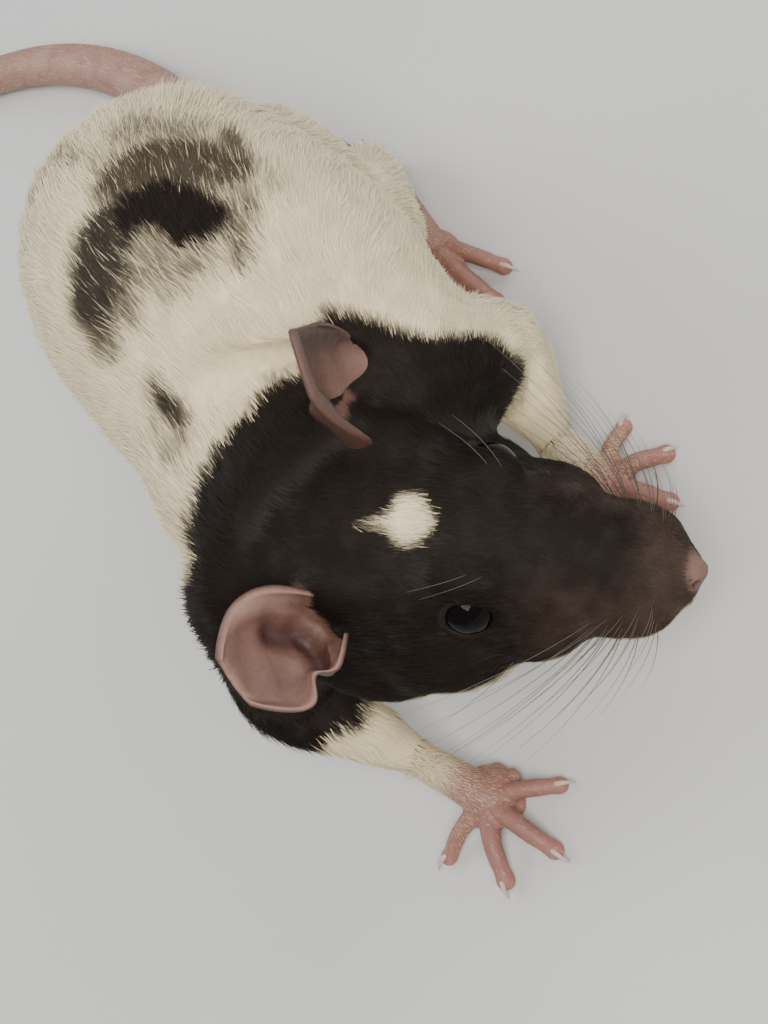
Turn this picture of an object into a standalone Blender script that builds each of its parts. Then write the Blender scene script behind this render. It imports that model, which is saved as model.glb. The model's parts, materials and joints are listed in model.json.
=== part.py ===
"""A fancy rat crouched on its four feet with its head turned to its left, life size.

The body is modelled whole as overlapping lofts and ellipsoids, fused into one smooth form,
and parted by thin cuts into a solid for each part of the body. The paws, feet, ears, eyes
and tail are solids of their own that meet the body face to face.

Sizes are in millimetres and become metres through MM. +Z is up, the animal faces -Y, and
its left side is +X.
"""

import math

import bmesh
import bpy
from mathutils import Matrix, Vector

MM = 0.001

# The origin is under the middle of the whole animal, on the floor
MODEL_SHIFT = Vector((47.28, -88.13, 0.0))
GAP = 0.3

# Head: its own frame has x forward, y to its left and z up, and starts midway between the eyes
HEAD_AT = Vector((0.0, 0.0, 36.0))
HEAD_TURN = -46.4
HEAD_NOD = 21.1
HEAD_TILT = -5.4
HEAD_SCALE = 1.04
EYE_RADIUS = 3.7
EAR_THICKNESS = 1.0

# Body: heights are above the floor, and the coat is part of every size
HIPS_AT = Vector((-9.0, 76.0, 0.0))
HIPS_TURN = -100.0
TAIL_LENGTH = 172.0
TAIL_ROOT_RADIUS = 5.2
TAIL_TIP_RADIUS = 1.1
TAIL_ROOT = Vector((-8.1, 103.0, 19.5))
TAIL_TURN_START = 80.0
TAIL_TURN_END = 215.0
TAIL_PARTS = ("tail_base", "tail_middle", "tail_tip")

# Fineness of the fused forms, and how many triangles each is thinned to
BODY_VOXEL = 0.9
BODY_TRIANGLES = 5600
PAW_VOXEL = 0.42
FOREPAW_TRIANGLES = 720
HIND_FOOT_TRIANGLES = 740


def rotation(axis, degrees):
    return Matrix.Rotation(math.radians(degrees), 4, axis)


def heading(degrees):
    """The level direction at this angle from +X."""
    angle = math.radians(degrees)
    return Vector((math.cos(angle), math.sin(angle), 0.0))


def level_frame(at, turn):
    """A frame on its point, with x forward along the turn, y to the left and z up."""
    return Matrix.Translation(at) @ rotation("Z", turn)


HEAD_FRAME = (
    Matrix.Translation(HEAD_AT)
    @ rotation("Z", HEAD_TURN)
    @ rotation("Y", HEAD_NOD)
    @ rotation("X", HEAD_TILT)
    @ Matrix.Scale(HEAD_SCALE, 4)
)
HIPS_FRAME = level_frame(HIPS_AT, HIPS_TURN)


def curve_through(points, steps):
    """A smooth curve through rows of numbers, with this many steps from one row to the next."""
    rows = [list(row) for row in points]
    rows = [rows[0]] + rows + [rows[-1]]
    result = []
    for i in range(1, len(rows) - 2):
        before, start, end, after = rows[i - 1 : i + 3]
        for step in range(steps):
            t = step / steps
            row = []
            for p0, p1, p2, p3 in zip(before, start, end, after):
                bend = 2 * p0 - 5 * p1 + 4 * p2 - p3
                twist = 3 * p1 - p0 - 3 * p2 + p3
                row.append(0.5 * (2 * p1 + (p2 - p0) * t + bend * t * t + twist * t**3))
            result.append(row)
    result.append(rows[-2])
    return result


def add_rings(bm, rings):
    """Closes a tube over the rings of points, with a fan at each end."""
    loops = [[bm.verts.new(point * MM) for point in ring] for ring in rings]
    count = len(loops[0])
    for near, far in zip(loops, loops[1:]):
        for i in range(count):
            j = (i + 1) % count
            bm.faces.new((near[i], near[j], far[j], far[i]))
    for loop, turned in ((loops[0], True), (loops[-1], False)):
        centre = sum((vert.co for vert in loop), Vector()) / count
        pole = bm.verts.new(centre)
        for i in range(count):
            j = (i + 1) % count
            corners = (loop[j], loop[i], pole) if turned else (loop[i], loop[j], pole)
            bm.faces.new(corners)


def add_loft(bm, stations, frame=None, sides=24, steps=4):
    """A loft through rows of x, y, z, half width, height above and depth below its line."""
    rows = curve_through(stations, steps)
    frame = frame or Matrix.Identity(4)
    rings = []
    for i, row in enumerate(rows):
        centre = Vector(row[:3])
        ahead = Vector(rows[min(i + 1, len(rows) - 1)][:3])
        behind = Vector(rows[max(i - 1, 0)][:3])
        along = (ahead - behind).normalized()
        side = Vector((0, 0, 1)).cross(along).normalized()
        up = along.cross(side)
        width, above, below = row[3:6]
        ring = []
        for k in range(sides):
            angle = 2 * math.pi * k / sides
            height = above if math.sin(angle) > 0 else below
            point = centre + side * (math.cos(angle) * width) + up * (math.sin(angle) * height)
            ring.append(frame @ point)
        rings.append(ring)
    add_rings(bm, rings)


def add_limb(bm, joints, frame=None, sides=12, steps=3):
    """A round limb through rows of x, y, z and radius, with both ends rounded."""
    frame = frame or Matrix.Identity(4)
    rows = curve_through(joints, steps)
    first, last = Vector(rows[0][:3]), Vector(rows[-1][:3])
    outward = (first - Vector(rows[1][:3])).normalized()
    onward = (last - Vector(rows[-2][:3])).normalized()
    bends = [math.radians(angle) for angle in (30, 55, 75)]
    start = [(*(first + outward * rows[0][3] * math.sin(a)), rows[0][3] * math.cos(a)) for a in bends]
    end = [(*(last + onward * rows[-1][3] * math.sin(a)), rows[-1][3] * math.cos(a)) for a in bends]
    rows = start[::-1] + rows + end
    rings = []
    side = None
    for i, row in enumerate(rows):
        ahead = Vector(rows[min(i + 1, len(rows) - 1)][:3])
        behind = Vector(rows[max(i - 1, 0)][:3])
        along = (ahead - behind).normalized()
        start = side or along.orthogonal()
        side = (start - along * start.dot(along)).normalized()
        up = along.cross(side)
        ring = []
        for k in range(sides):
            angle = 2 * math.pi * k / sides
            offset = side * math.cos(angle) + up * math.sin(angle)
            ring.append(frame @ (Vector(row[:3]) + offset * row[3]))
        rings.append(ring)
    add_rings(bm, rings)


def add_ball(bm, centre, radii, frame=None, turn=(0, 0, 0), sides=20):
    """An ellipsoid, turned about its own x, y and z by these degrees."""
    frame = frame or Matrix.Identity(4)
    spin = rotation("Z", turn[2]) @ rotation("Y", turn[1]) @ rotation("X", turn[0])
    matrix = frame @ Matrix.Translation(centre) @ spin @ Matrix.Diagonal((*radii, 1.0))
    bmesh.ops.create_uvsphere(
        bm,
        u_segments=sides,
        v_segments=max(6, sides * 2 // 3),
        radius=1.0,
        matrix=Matrix.Scale(MM, 4) @ matrix,
    )


def add_pair(add, bm, row, *rest, **options):
    """The same shape on the left and, mirrored, on the right of its frame."""
    for side in (1, -1):
        add(bm, (row[0], row[1] * side, row[2]), *rest, **options)


def object_from(bm, name, collection):
    bmesh.ops.recalc_face_normals(bm, faces=bm.faces)
    mesh = bpy.data.meshes.new(name)
    bm.to_mesh(mesh)
    bm.free()
    obj = bpy.data.objects.new(name, mesh)
    collection.objects.link(obj)
    return obj


def settle(obj):
    """Turns the object's modifiers into its mesh."""
    graph = bpy.context.evaluated_depsgraph_get()
    mesh = bpy.data.meshes.new_from_object(obj.evaluated_get(graph))
    obj.modifiers.clear()
    old = obj.data
    obj.data = mesh
    bpy.data.meshes.remove(old)
    mesh.name = obj.name


def fuse(obj, voxel, smooth_turns):
    """Makes one skin over all the shapes in the object, and rounds the creases between them."""
    remesh = obj.modifiers.new("one skin", "REMESH")
    remesh.mode = "VOXEL"
    remesh.voxel_size = voxel * MM
    remesh.adaptivity = 0.0
    smooth = obj.modifiers.new("soft creases", "SMOOTH")
    smooth.factor = 0.5
    smooth.iterations = smooth_turns
    settle(obj)


def thin_out(obj, triangles, weight=None):
    """Reduces the mesh to about this many triangles, keeping more where the weight is low."""
    if weight:
        group = obj.vertex_groups.new(name="thin")
        for vert in obj.data.vertices:
            group.add([vert.index], weight(vert.co / MM), "REPLACE")
    now = sum(len(face.vertices) - 2 for face in obj.data.polygons)
    decimate = obj.modifiers.new("fewer faces", "DECIMATE")
    decimate.ratio = min(1.0, triangles / now)
    if weight:
        decimate.vertex_group = "thin"
        decimate.vertex_group_factor = 1.5e-6
    settle(obj)
    obj.vertex_groups.clear()


def keep_largest(obj):
    """Drops every closed surface but the one with the most faces."""
    bm = bmesh.new()
    bm.from_mesh(obj.data)
    left = set(bm.verts)
    shells = []
    while left:
        start = left.pop()
        shell = {start}
        border = [start]
        while border:
            vert = border.pop()
            for edge in vert.link_edges:
                other = edge.other_vert(vert)
                if other in left:
                    left.discard(other)
                    shell.add(other)
                    border.append(other)
        shells.append(shell)
    shells.sort(key=len)
    for shell in shells[:-1]:
        bmesh.ops.delete(bm, geom=list(shell), context="VERTS")
    bm.to_mesh(obj.data)
    bm.free()


def boolean(obj, operation, *others):
    for other in others:
        cut = obj.modifiers.new(operation.lower(), "BOOLEAN")
        cut.operation = operation
        cut.object = other
    settle(obj)
    keep_largest(obj)


def copy_of(obj, name, collection):
    twin = bpy.data.objects.new(name, obj.data.copy())
    collection.objects.link(twin)
    return twin


def grown(obj, by, collection):
    """A copy of the solid that is larger by this much on every side."""
    twin = copy_of(obj, obj.name + "_grown", collection)
    swell = twin.modifiers.new("swell", "DISPLACE")
    swell.strength = by * MM
    swell.mid_level = 0.0
    remesh = twin.modifiers.new("one skin", "REMESH")
    remesh.mode = "VOXEL"
    remesh.voxel_size = BODY_VOXEL * MM
    remesh.adaptivity = 0.0
    settle(twin)
    thin_out(twin, 6000)
    return twin


def box_object(name, frame, low, high, collection, margin=0.0):
    """A block between two corners of the frame, in millimetres, widened by the margin."""
    bm = bmesh.new()
    low = Vector(low) - Vector((margin,) * 3)
    high = Vector(high) + Vector((margin,) * 3)
    middle = (low + high) / 2
    size = high - low
    matrix = Matrix.Scale(MM, 4) @ frame @ Matrix.Translation(middle) @ Matrix.Diagonal((*size, 1.0))
    bmesh.ops.create_cube(bm, size=1.0, matrix=matrix)
    return object_from(bm, name, collection)


def shape_object(name, collection, *parts):
    """An object made by functions that each add a closed shape to one mesh."""
    bm = bmesh.new()
    for part in parts:
        part(bm)
    return object_from(bm, name, collection)


def flatten_sole(obj, sink=0.0):
    """Lowers the solid by the sink, and gives it a flat on the floor."""
    for vert in obj.data.vertices:
        vert.co.z -= sink * MM
        if vert.co.z < 0.05 * MM:
            vert.co.z = 0.0


# Rows are x, y, z, half width, height above the row's line and depth below it
SKULL = (
    (-34.0, 0, -4.0, 14.5, 11.5, 13.0),
    (-26.0, 0, -4.0, 15.4, 12.2, 14.0),
    (-18.0, 0, -3.5, 15.6, 12.3, 14.5),
    (-10.0, 0, -3.5, 14.8, 12.0, 14.5),
    (-2.0, 0, -4.0, 12.9, 11.2, 13.2),
    (6.0, 0, -5.0, 10.6, 9.2, 11.0),
    (13.0, 0, -6.3, 8.6, 7.0, 8.0),
    (18.5, 0, -7.0, 6.6, 5.0, 5.8),
    (22.7, 0, -7.3, 4.6, 3.6, 4.2),
    (25.1, 0, -7.2, 2.4, 2.2, 2.4),
)
TRUNK = (
    (-12.0, 13.0, 46.5, 13.5, 12.0, 13.0),
    (-14.0, 21.0, 43.5, 17.0, 15.5, 16.5),
    (-14.0, 29.0, 40.0, 21.0, 19.5, 20.0),
    (-8.8, 40.0, 38.5, 26.6, 22.5, 22.5),
    (-7.5, 52.0, 39.5, 26.5, 24.5, 24.5),
    (-9.3, 65.0, 40.0, 25.3, 25.0, 26.0),
    (-10.3, 77.0, 35.5, 23.2, 23.0, 24.0),
    (-9.8, 88.0, 29.0, 18.8, 17.5, 17.5),
    (-8.5, 95.0, 24.0, 12.0, 11.5, 11.5),
    (-8.2, 100.0, 21.0, 7.0, 7.0, 7.0),
    (-8.0, 104.0, 19.0, 5.5, 5.5, 5.5),
    (-7.8, 109.0, 16.5, 5.3, 5.3, 5.3),
)
SHOULDER = {"left": (3.0, 26.5, 34.5), "right": (-28.4, 19.6, 36.0)}
ELBOW = {"left": (12.0, 32.0, 19.0), "right": (-40.4, 15.6, 21.0)}
WRIST = {"left": (8.4, 21.4, 8.0), "right": (-35.6, 1.0, 8.0)}
PALM = {"left": (8.5, 14.5, 0.0), "right": (-32.5, -7.9, 0.0)}
PALM_TURN = {"left": -38.0, "right": -98.0}
# How far the toes of each forepaw are stretched: the left ones are curled
TOE_STRETCH = {"left": 0.82, "right": 1.0}
SIDES = {"left": 1, "right": -1}


def add_head(bm):
    frame = HEAD_FRAME
    add_loft(bm, SKULL, frame, sides=32, steps=4)
    add_pair(add_ball, bm, (-7.0, 10.3, -11.5), (11.5, 7.2, 9.5), frame)
    add_pair(add_ball, bm, (-15.0, 10.5, -14.0), (12.0, 8.5, 9.5), frame)
    add_pair(add_ball, bm, (-14.0, 8.5, 2.5), (9.0, 5.5, 6.0), frame)
    add_pair(add_ball, bm, (-0.5, 6.9, 3.6), (6.0, 3.2, 2.9), frame)
    add_pair(add_ball, bm, (4.0, 8.8, -8.0), (8.5, 4.4, 6.0), frame)
    add_pair(add_ball, bm, (15.8, 4.6, -8.6), (7.4, 4.5, 5.0), frame)
    add_pair(add_ball, bm, (21.7, 2.4, -9.6), (3.6, 2.4, 2.7), frame)
    add_ball(bm, (24.3, 0.0, -6.4), (2.6, 2.7, 2.1), frame)
    add_ball(bm, (12.5, 0.0, -13.2), (8.0, 4.0, 3.2), frame)


def add_trunk(bm):
    """The trunk, the arms down to the wrists, and the haunches and shins."""
    add_loft(bm, TRUNK, sides=32, steps=4)
    for side in SIDES:
        shoulder = SHOULDER[side]
        elbow = ELBOW[side]
        wrist = WRIST[side]
        palm = PALM[side]
        beyond = [w + (p - w) * 0.35 for w, p in zip(wrist, palm)]
        beyond[2] = 5.5
        rows = (
            (*shoulder, 12.5),
            (*[(s + e) / 2 for s, e in zip(shoulder, elbow)], 10.5),
            (*elbow, 8.2),
            (*[(e + w) / 2 for e, w in zip(elbow, wrist)], 5.6),
            (*wrist, 3.7),
            (*beyond, 3.5),
        )
        add_limb(bm, rows, sides=16)
    frame = HIPS_FRAME
    for side in (1, -1):
        add_ball(bm, (1.0, 14.5 * side, 25.0), (18.0, 10.5, 17.0), frame, turn=(0, 20, 0))
        rows = (
            (12.0, 18.0 * side, 19.0, 8.6),
            (3.0, 18.6 * side, 12.5, 7.4),
            (-10.0, 18.7 * side, 8.0, 6.0),
            (-13.0, 18.8 * side, 4.5, 5.2),
        )
        add_limb(bm, rows, frame, sides=16)


def make_flesh(helpers):
    flesh = shape_object("flesh", helpers, add_head, add_trunk)
    fuse(flesh, BODY_VOXEL, 10)
    front = HEAD_FRAME.inverted()

    def thin(point):
        local = front @ point
        return 0.5 if local.x > -22 and local.z > -22 else 1.0

    thin_out(flesh, BODY_TRIANGLES, thin)
    return flesh


def material(name, colour, roughness):
    made = bpy.data.materials.new(name)
    made.use_nodes = True
    shader = made.node_tree.nodes["Principled BSDF"]
    shader.inputs["Base Color"].default_value = (*colour, 1.0)
    shader.inputs["Roughness"].default_value = roughness
    made.diffuse_color = (*colour, 1.0)
    return made


def finish(obj, made):
    obj.data.materials.clear()
    obj.data.materials.append(made)
    obj.data.shade_smooth()


EYE_AT = {"left": (-1.0, 8.5, -1.3), "right": (-1.0, -8.5, -1.3)}
EYE_LOOKS = (0.385, 0.723, 0.574)
LID_HALF_LENGTH = 3.6
LID_HALF_HEIGHT = 3.05
LID_OFFSET = 1.7


def add_lids(bm, side):
    """A low ring round the opening of the eye, longer from front to back than high."""
    turn = SIDES[side]
    out = Vector((EYE_LOOKS[0], turn * EYE_LOOKS[1], EYE_LOOKS[2])).normalized()
    along = Vector((1.0, 0.0, -0.15))
    along = (along - out * along.dot(out)).normalized()
    across = out.cross(along)
    centre = Vector(EYE_AT[side]) + out * LID_OFFSET
    rings = []
    count = 20
    tube = 8
    for i in range(count):
        angle = 2 * math.pi * i / count
        spoke = along * (math.cos(angle) * LID_HALF_LENGTH)
        spoke += across * (math.sin(angle) * LID_HALF_HEIGHT)
        away = spoke.normalized()
        ring = []
        for k in range(tube):
            turn_k = 2 * math.pi * k / tube
            point = centre + spoke + away * (math.cos(turn_k) * 0.8) + out * (math.sin(turn_k) * 0.75)
            ring.append(bm.verts.new((HEAD_FRAME @ point) * MM))
        rings.append(ring)
    for i in range(count):
        near = rings[i]
        far = rings[(i + 1) % count]
        for k in range(tube):
            j = (k + 1) % tube
            bm.faces.new((near[k], near[j], far[j], far[k]))


def toward(at, target):
    """A frame on the first point whose x runs to the second."""
    aim = (target - at).normalized()
    return Matrix.Translation(at) @ aim.to_track_quat("X", "Z").to_matrix().to_4x4()


# The head parts from the neck, and the neck from the trunk, on planes across the spine
NAPE = toward(Vector((-12.0, 15.5, 45.0)), Vector((-2.0, 2.0, 37.5)))
WITHERS = toward(Vector((-14.5, 24.5, 42.5)), Vector((-11.0, 14.0, 45.5)))


def in_front(name, add_shape, plane, helpers, margin):
    """The part of a shape in front of a plane, less the margin."""
    region = shape_object(name, helpers, add_shape)
    behind = box_object(name + "_end", plane, (-90, -90, -90), (-margin, 90, 90), helpers)
    boolean(region, "DIFFERENCE", behind)
    return region


def head_region(helpers, margin):
    by = 5.5 + margin
    rows = SKULL + ((32.0, 0, -7.0, 2.0, 2.0, 2.0),)
    wide = [(*row[:3], row[3] + by, row[4] + by, row[5] + by) for row in rows]
    return in_front("head_region", lambda bm: add_loft(bm, wide, HEAD_FRAME, 20, 2), NAPE, helpers, margin)


def neck_region(helpers, margin):
    centre = (-12.5, 16.0, 42.0)
    radii = (27.0 + margin, 24.0 + margin, 25.0 + margin)
    return in_front("neck_region", lambda bm: add_ball(bm, centre, radii), WITHERS, helpers, margin)


# The mouth's line from its middle to one corner
MOUTH = ((24.4, 0.0, -11.6), (22.6, 2.4, -12.5), (19.0, 4.6, -13.2), (15.2, 5.8, -13.4), (11.5, 6.6, -12.6))


def mouth_cutters(helpers):
    """The nostrils, the groove of the upper lip and the line of the mouth."""
    radius = 0.55
    line = [(x, -y, z, radius) for x, y, z in MOUTH[:0:-1]] + [(*point, radius) for point in MOUTH]
    groove = shape_object("mouth_line", helpers, lambda bm: add_limb(bm, line, HEAD_FRAME, sides=8, steps=2))
    lip = ((27.0, 0.0, -8.6, 0.4), (25.2, 0.0, -11.2, 0.4))
    split = shape_object("lip_groove", helpers, lambda bm: add_limb(bm, lip, HEAD_FRAME, sides=8, steps=2))
    cutters = [groove, split]
    for side, turn in SIDES.items():
        centre = (26.2, 1.7 * turn, -6.6)
        size = (1.8, 0.7, 0.85)
        cutters.append(
            shape_object(
                "nostril_" + side,
                helpers,
                lambda bm: add_ball(bm, centre, size, HEAD_FRAME, turn=(0, 0, -25 * turn), sides=12),
            )
        )
    return cutters


def make_head(flesh, parts, helpers):
    head = copy_of(flesh, "head", parts)
    boolean(head, "INTERSECT", head_region(helpers, 0.0))
    lids = [shape_object("lids_" + side, helpers, lambda bm: add_lids(bm, side)) for side in SIDES]
    boolean(head, "UNION", *lids)
    sockets = [
        shape_object(
            "socket_" + side,
            helpers,
            lambda bm: add_ball(bm, EYE_AT[side], (EYE_RADIUS + GAP,) * 3, HEAD_FRAME, sides=18),
        )
        for side in SIDES
    ]
    boolean(head, "DIFFERENCE", *sockets, *mouth_cutters(helpers))
    return head


def make_eyes(parts, black):
    for side in SIDES:
        eye = shape_object(
            "eye_" + side,
            parts,
            lambda bm: add_ball(bm, EYE_AT[side], (EYE_RADIUS,) * 3, HEAD_FRAME, sides=16),
        )
        finish(eye, black)


def tail_point(s):
    """The tail's centre and radius this far along it: off the rump, down to the floor, then level."""
    part = s / TAIL_LENGTH
    left = max(0.0, 1 - part)
    radius = TAIL_TIP_RADIUS + (TAIL_ROOT_RADIUS - TAIL_TIP_RADIUS) * left**0.8
    steps = 40
    spot = TAIL_ROOT.copy()
    for i in range(steps):
        middle = max(0.0, (i + 0.5) / steps * part)
        turn = TAIL_TURN_START + (TAIL_TURN_END - TAIL_TURN_START) * middle**1.15
        spot += heading(turn) * (s / steps)
    drop = min(1.0, s / 30.0)
    ease = 1 - (1 - drop) ** 2 if drop < 1 else 1.0
    rest = radius - 0.35
    spot.z = TAIL_ROOT.z + (rest - TAIL_ROOT.z) * (3 * ease**2 - 2 * ease**3)
    return (*spot, radius)


def make_tail(parts, pink):
    ends = [TAIL_LENGTH * share for share in (0.0, 0.34, 0.67, 1.0)]
    for i, name in enumerate(TAIL_PARTS):
        start = ends[i] + GAP / 2
        end = ends[i + 1] - (GAP / 2 if i < 2 else 0.0)
        count = 18
        rows = [tail_point(start + (end - start) * k / count) for k in range(count + 1)]
        bm = bmesh.new()
        sides = 10
        rings = []
        for k, row in enumerate(rows):
            ahead = Vector(rows[min(k + 1, count)][:3])
            behind = Vector(rows[max(k - 1, 0)][:3])
            along = (ahead - behind).normalized()
            side = Vector((0, 0, 1)).cross(along).normalized()
            up = along.cross(side)
            angles = [2 * math.pi * (n + 0.5) / sides for n in range(sides)]
            rings.append(
                [Vector(row[:3]) + (side * math.cos(a) + up * math.sin(a)) * row[3] for a in angles]
            )
        add_rings(bm, rings)
        tail = object_from(bm, name, parts)
        flatten_sole(tail)
        finish(tail, pink)


# Each toe: angle away from the paw's middle line, reach from the palm and thickness at its root
FORE_TOES = ((-67.0, 11.2, 1.45), (-22.0, 13.1, 1.55), (21.0, 12.2, 1.55), (76.0, 11.6, 1.4))
HIND_TOES = ((-26.0, 10.0, 1.5), (-11.0, 12.6, 1.75), (0.0, 13.2, 1.8), (11.0, 12.6, 1.75), (30.0, 9.6, 1.5))


def add_toe(bm, frame, root, angle, reach, radius):
    """A toe that arches from its root to a soft pad and ends in a short hooked claw."""
    out = heading(angle)
    start = Vector(root)
    rows = []
    for share, height, size in ((0.0, 3.4, 1.15), (0.4, 3.5, 0.95), (0.75, 2.1, 0.9), (0.93, 1.25, 1.0)):
        spot = start + out * (reach * share)
        rows.append((spot.x, spot.y, height * radius / 1.5, radius * size))
    add_limb(bm, rows, frame, sides=10)
    claw = []
    for share, height, size in ((0.93, 1.9, 0.62), (1.04, 1.75, 0.5), (1.14, 0.9, 0.34)):
        spot = start + out * (reach * share)
        claw.append((spot.x, spot.y, height, size))
    add_limb(bm, claw, frame, sides=8, steps=2)


def make_forepaw(side, parts, pink):
    turn = SIDES[side]
    frame = level_frame(Vector(PALM[side]), PALM_TURN[side])
    wrist = Vector(WRIST[side])
    back = frame.inverted() @ wrist

    def add_palm(bm):
        add_ball(bm, (0.0, 0.0, 3.0), (4.9, 4.4, 2.5), frame)
        add_ball(bm, (2.2, 2.2, 1.3), (1.9, 1.8, 1.5), frame)
        add_ball(bm, (2.2, -2.2, 1.3), (1.9, 1.8, 1.5), frame)
        add_ball(bm, (-2.8, 1.9, 1.4), (2.2, 1.9, 1.6), frame)
        add_ball(bm, (-2.8, -1.9, 1.4), (2.2, 1.9, 1.6), frame)
        add_ball(bm, (-0.6, -4.3 * turn, 2.2), (1.5, 1.2, 1.1), frame)
        above = back + (back - Vector((0, 0, 3.5))) * 0.45
        add_limb(bm, ((*above, 4.0), (*back, 3.6), (0.0, 0.0, 3.6, 3.1)), frame, sides=14)
        for angle, reach, radius in FORE_TOES:
            out = heading(angle * turn)
            root = (out.x * 3.0, out.y * 2.8, 0.0)
            add_toe(bm, frame, root, angle * turn, reach * TOE_STRETCH[side] - 3.0, radius)

    paw = shape_object("forepaw_" + side, parts, add_palm)
    fuse(paw, PAW_VOXEL, 3)
    flatten_sole(paw, 0.35)
    thin_out(paw, FOREPAW_TRIANGLES)
    flatten_sole(paw)
    finish(paw, pink)
    return paw


def make_hind_foot(side, parts, pink):
    turn = SIDES[side]
    frame = HIPS_FRAME @ level_frame(Vector((-14.5, 18.8 * turn, 0.0)), 6.0 * turn)

    def add_sole(bm):
        add_limb(
            bm,
            ((0.0, 0.0, 3.6, 3.7), (10.0, 0.0, 3.2, 3.5), (20.0, 0.0, 3.0, 3.5)),
            frame,
            sides=14,
        )
        add_limb(bm, ((0.0, 0.0, 10.0, 4.4), (0.0, 0.0, 4.0, 3.9)), frame, sides=14)
        add_ball(bm, (21.0, 0.0, 2.8), (5.0, 4.6, 2.6), frame)
        for angle, reach, radius in HIND_TOES:
            out = heading(angle * turn)
            root = (21.5 + out.x * 1.5, out.y * 6.5, 0.0)
            add_toe(bm, frame, root, angle * turn, reach, radius)

    foot = shape_object("hind_foot_" + side, parts, add_sole)
    fuse(foot, PAW_VOXEL, 3)
    flatten_sole(foot, 0.3)
    thin_out(foot, HIND_FOOT_TRIANGLES)
    flatten_sole(foot)
    finish(foot, pink)
    return foot


# Each ear: where it grows, the way it stands and the way its cup opens, in the head's frame, then
# its length, its width, how far one corner of its tip is drawn out and how tightly its root is rolled
EARS = {
    "left": ((-17.5, 10.1, 3.7), (-0.25, 0.44, 0.86), (0.85, 0.25, 0.36), 17.0, 15.6, 2.2, 122.0),
    "right": ((-18.8, -15.6, 3.5), (-0.57, -0.72, 0.39), (0.45, 0.02, 0.89), 11.0, 15.0, 0.0, 80.0),
}
EAR_SINKS = 3.5


def make_ear(side, parts, clear_of, skin):
    root, stands, opens, length, width, corner, roll = EARS[side]
    up = Vector(stands).normalized()
    face = Vector(opens)
    face = (face - up * face.dot(up)).normalized()
    across = up.cross(face)
    rows = 11
    columns = 12
    bm = bmesh.new()
    grid = []
    for i in range(rows + 1):
        v = i / rows
        height = -EAR_SINKS + (length + EAR_SINKS) * v
        half = 0.5 * width * (math.sin(math.pi * (0.2 + 0.74 * v)) ** 0.6)
        wrap = math.radians(44 + roll * max(0.0, 1 - 1.45 * v) ** 1.2)
        radius = half / wrap
        line = []
        for j in range(columns + 1):
            w = 2 * j / columns - 1
            angle = w * wrap
            point = (
                Vector(root)
                + up * (height - corner * w * v)
                + across * (math.sin(angle) * radius * 1.25)
                + face * ((1 - math.cos(angle)) * radius - 1.5 * (1 - v))
            )
            line.append(bm.verts.new((HEAD_FRAME @ point) * MM))
        grid.append(line)
    for near, far in zip(grid, grid[1:]):
        for j in range(columns):
            bm.faces.new((near[j], near[j + 1], far[j + 1], far[j]))
    ear = object_from(bm, "ear_" + side, parts)
    shell = ear.modifiers.new("thickness", "SOLIDIFY")
    shell.thickness = EAR_THICKNESS * MM
    shell.offset = 0.0
    settle(ear)
    boolean(ear, "DIFFERENCE", clear_of)
    finish(ear, skin)


def add_arm_region(bm, side, margin):
    elbow = Vector(ELBOW[side])
    frame = toward(elbow, Vector(WRIST[side]))
    radii = (19.0 + margin, 12.5 + margin, 12.5 + margin)
    add_ball(bm, (7.0, 0.0, 0.0), radii, frame, sides=18)


def add_thigh_region(bm, turn, margin):
    add_ball(bm, (1.5, 21.0 * turn, 22.0), (24.0 + margin, 12.5 + margin, 24.0 + margin), HIPS_FRAME, sides=18)


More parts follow.
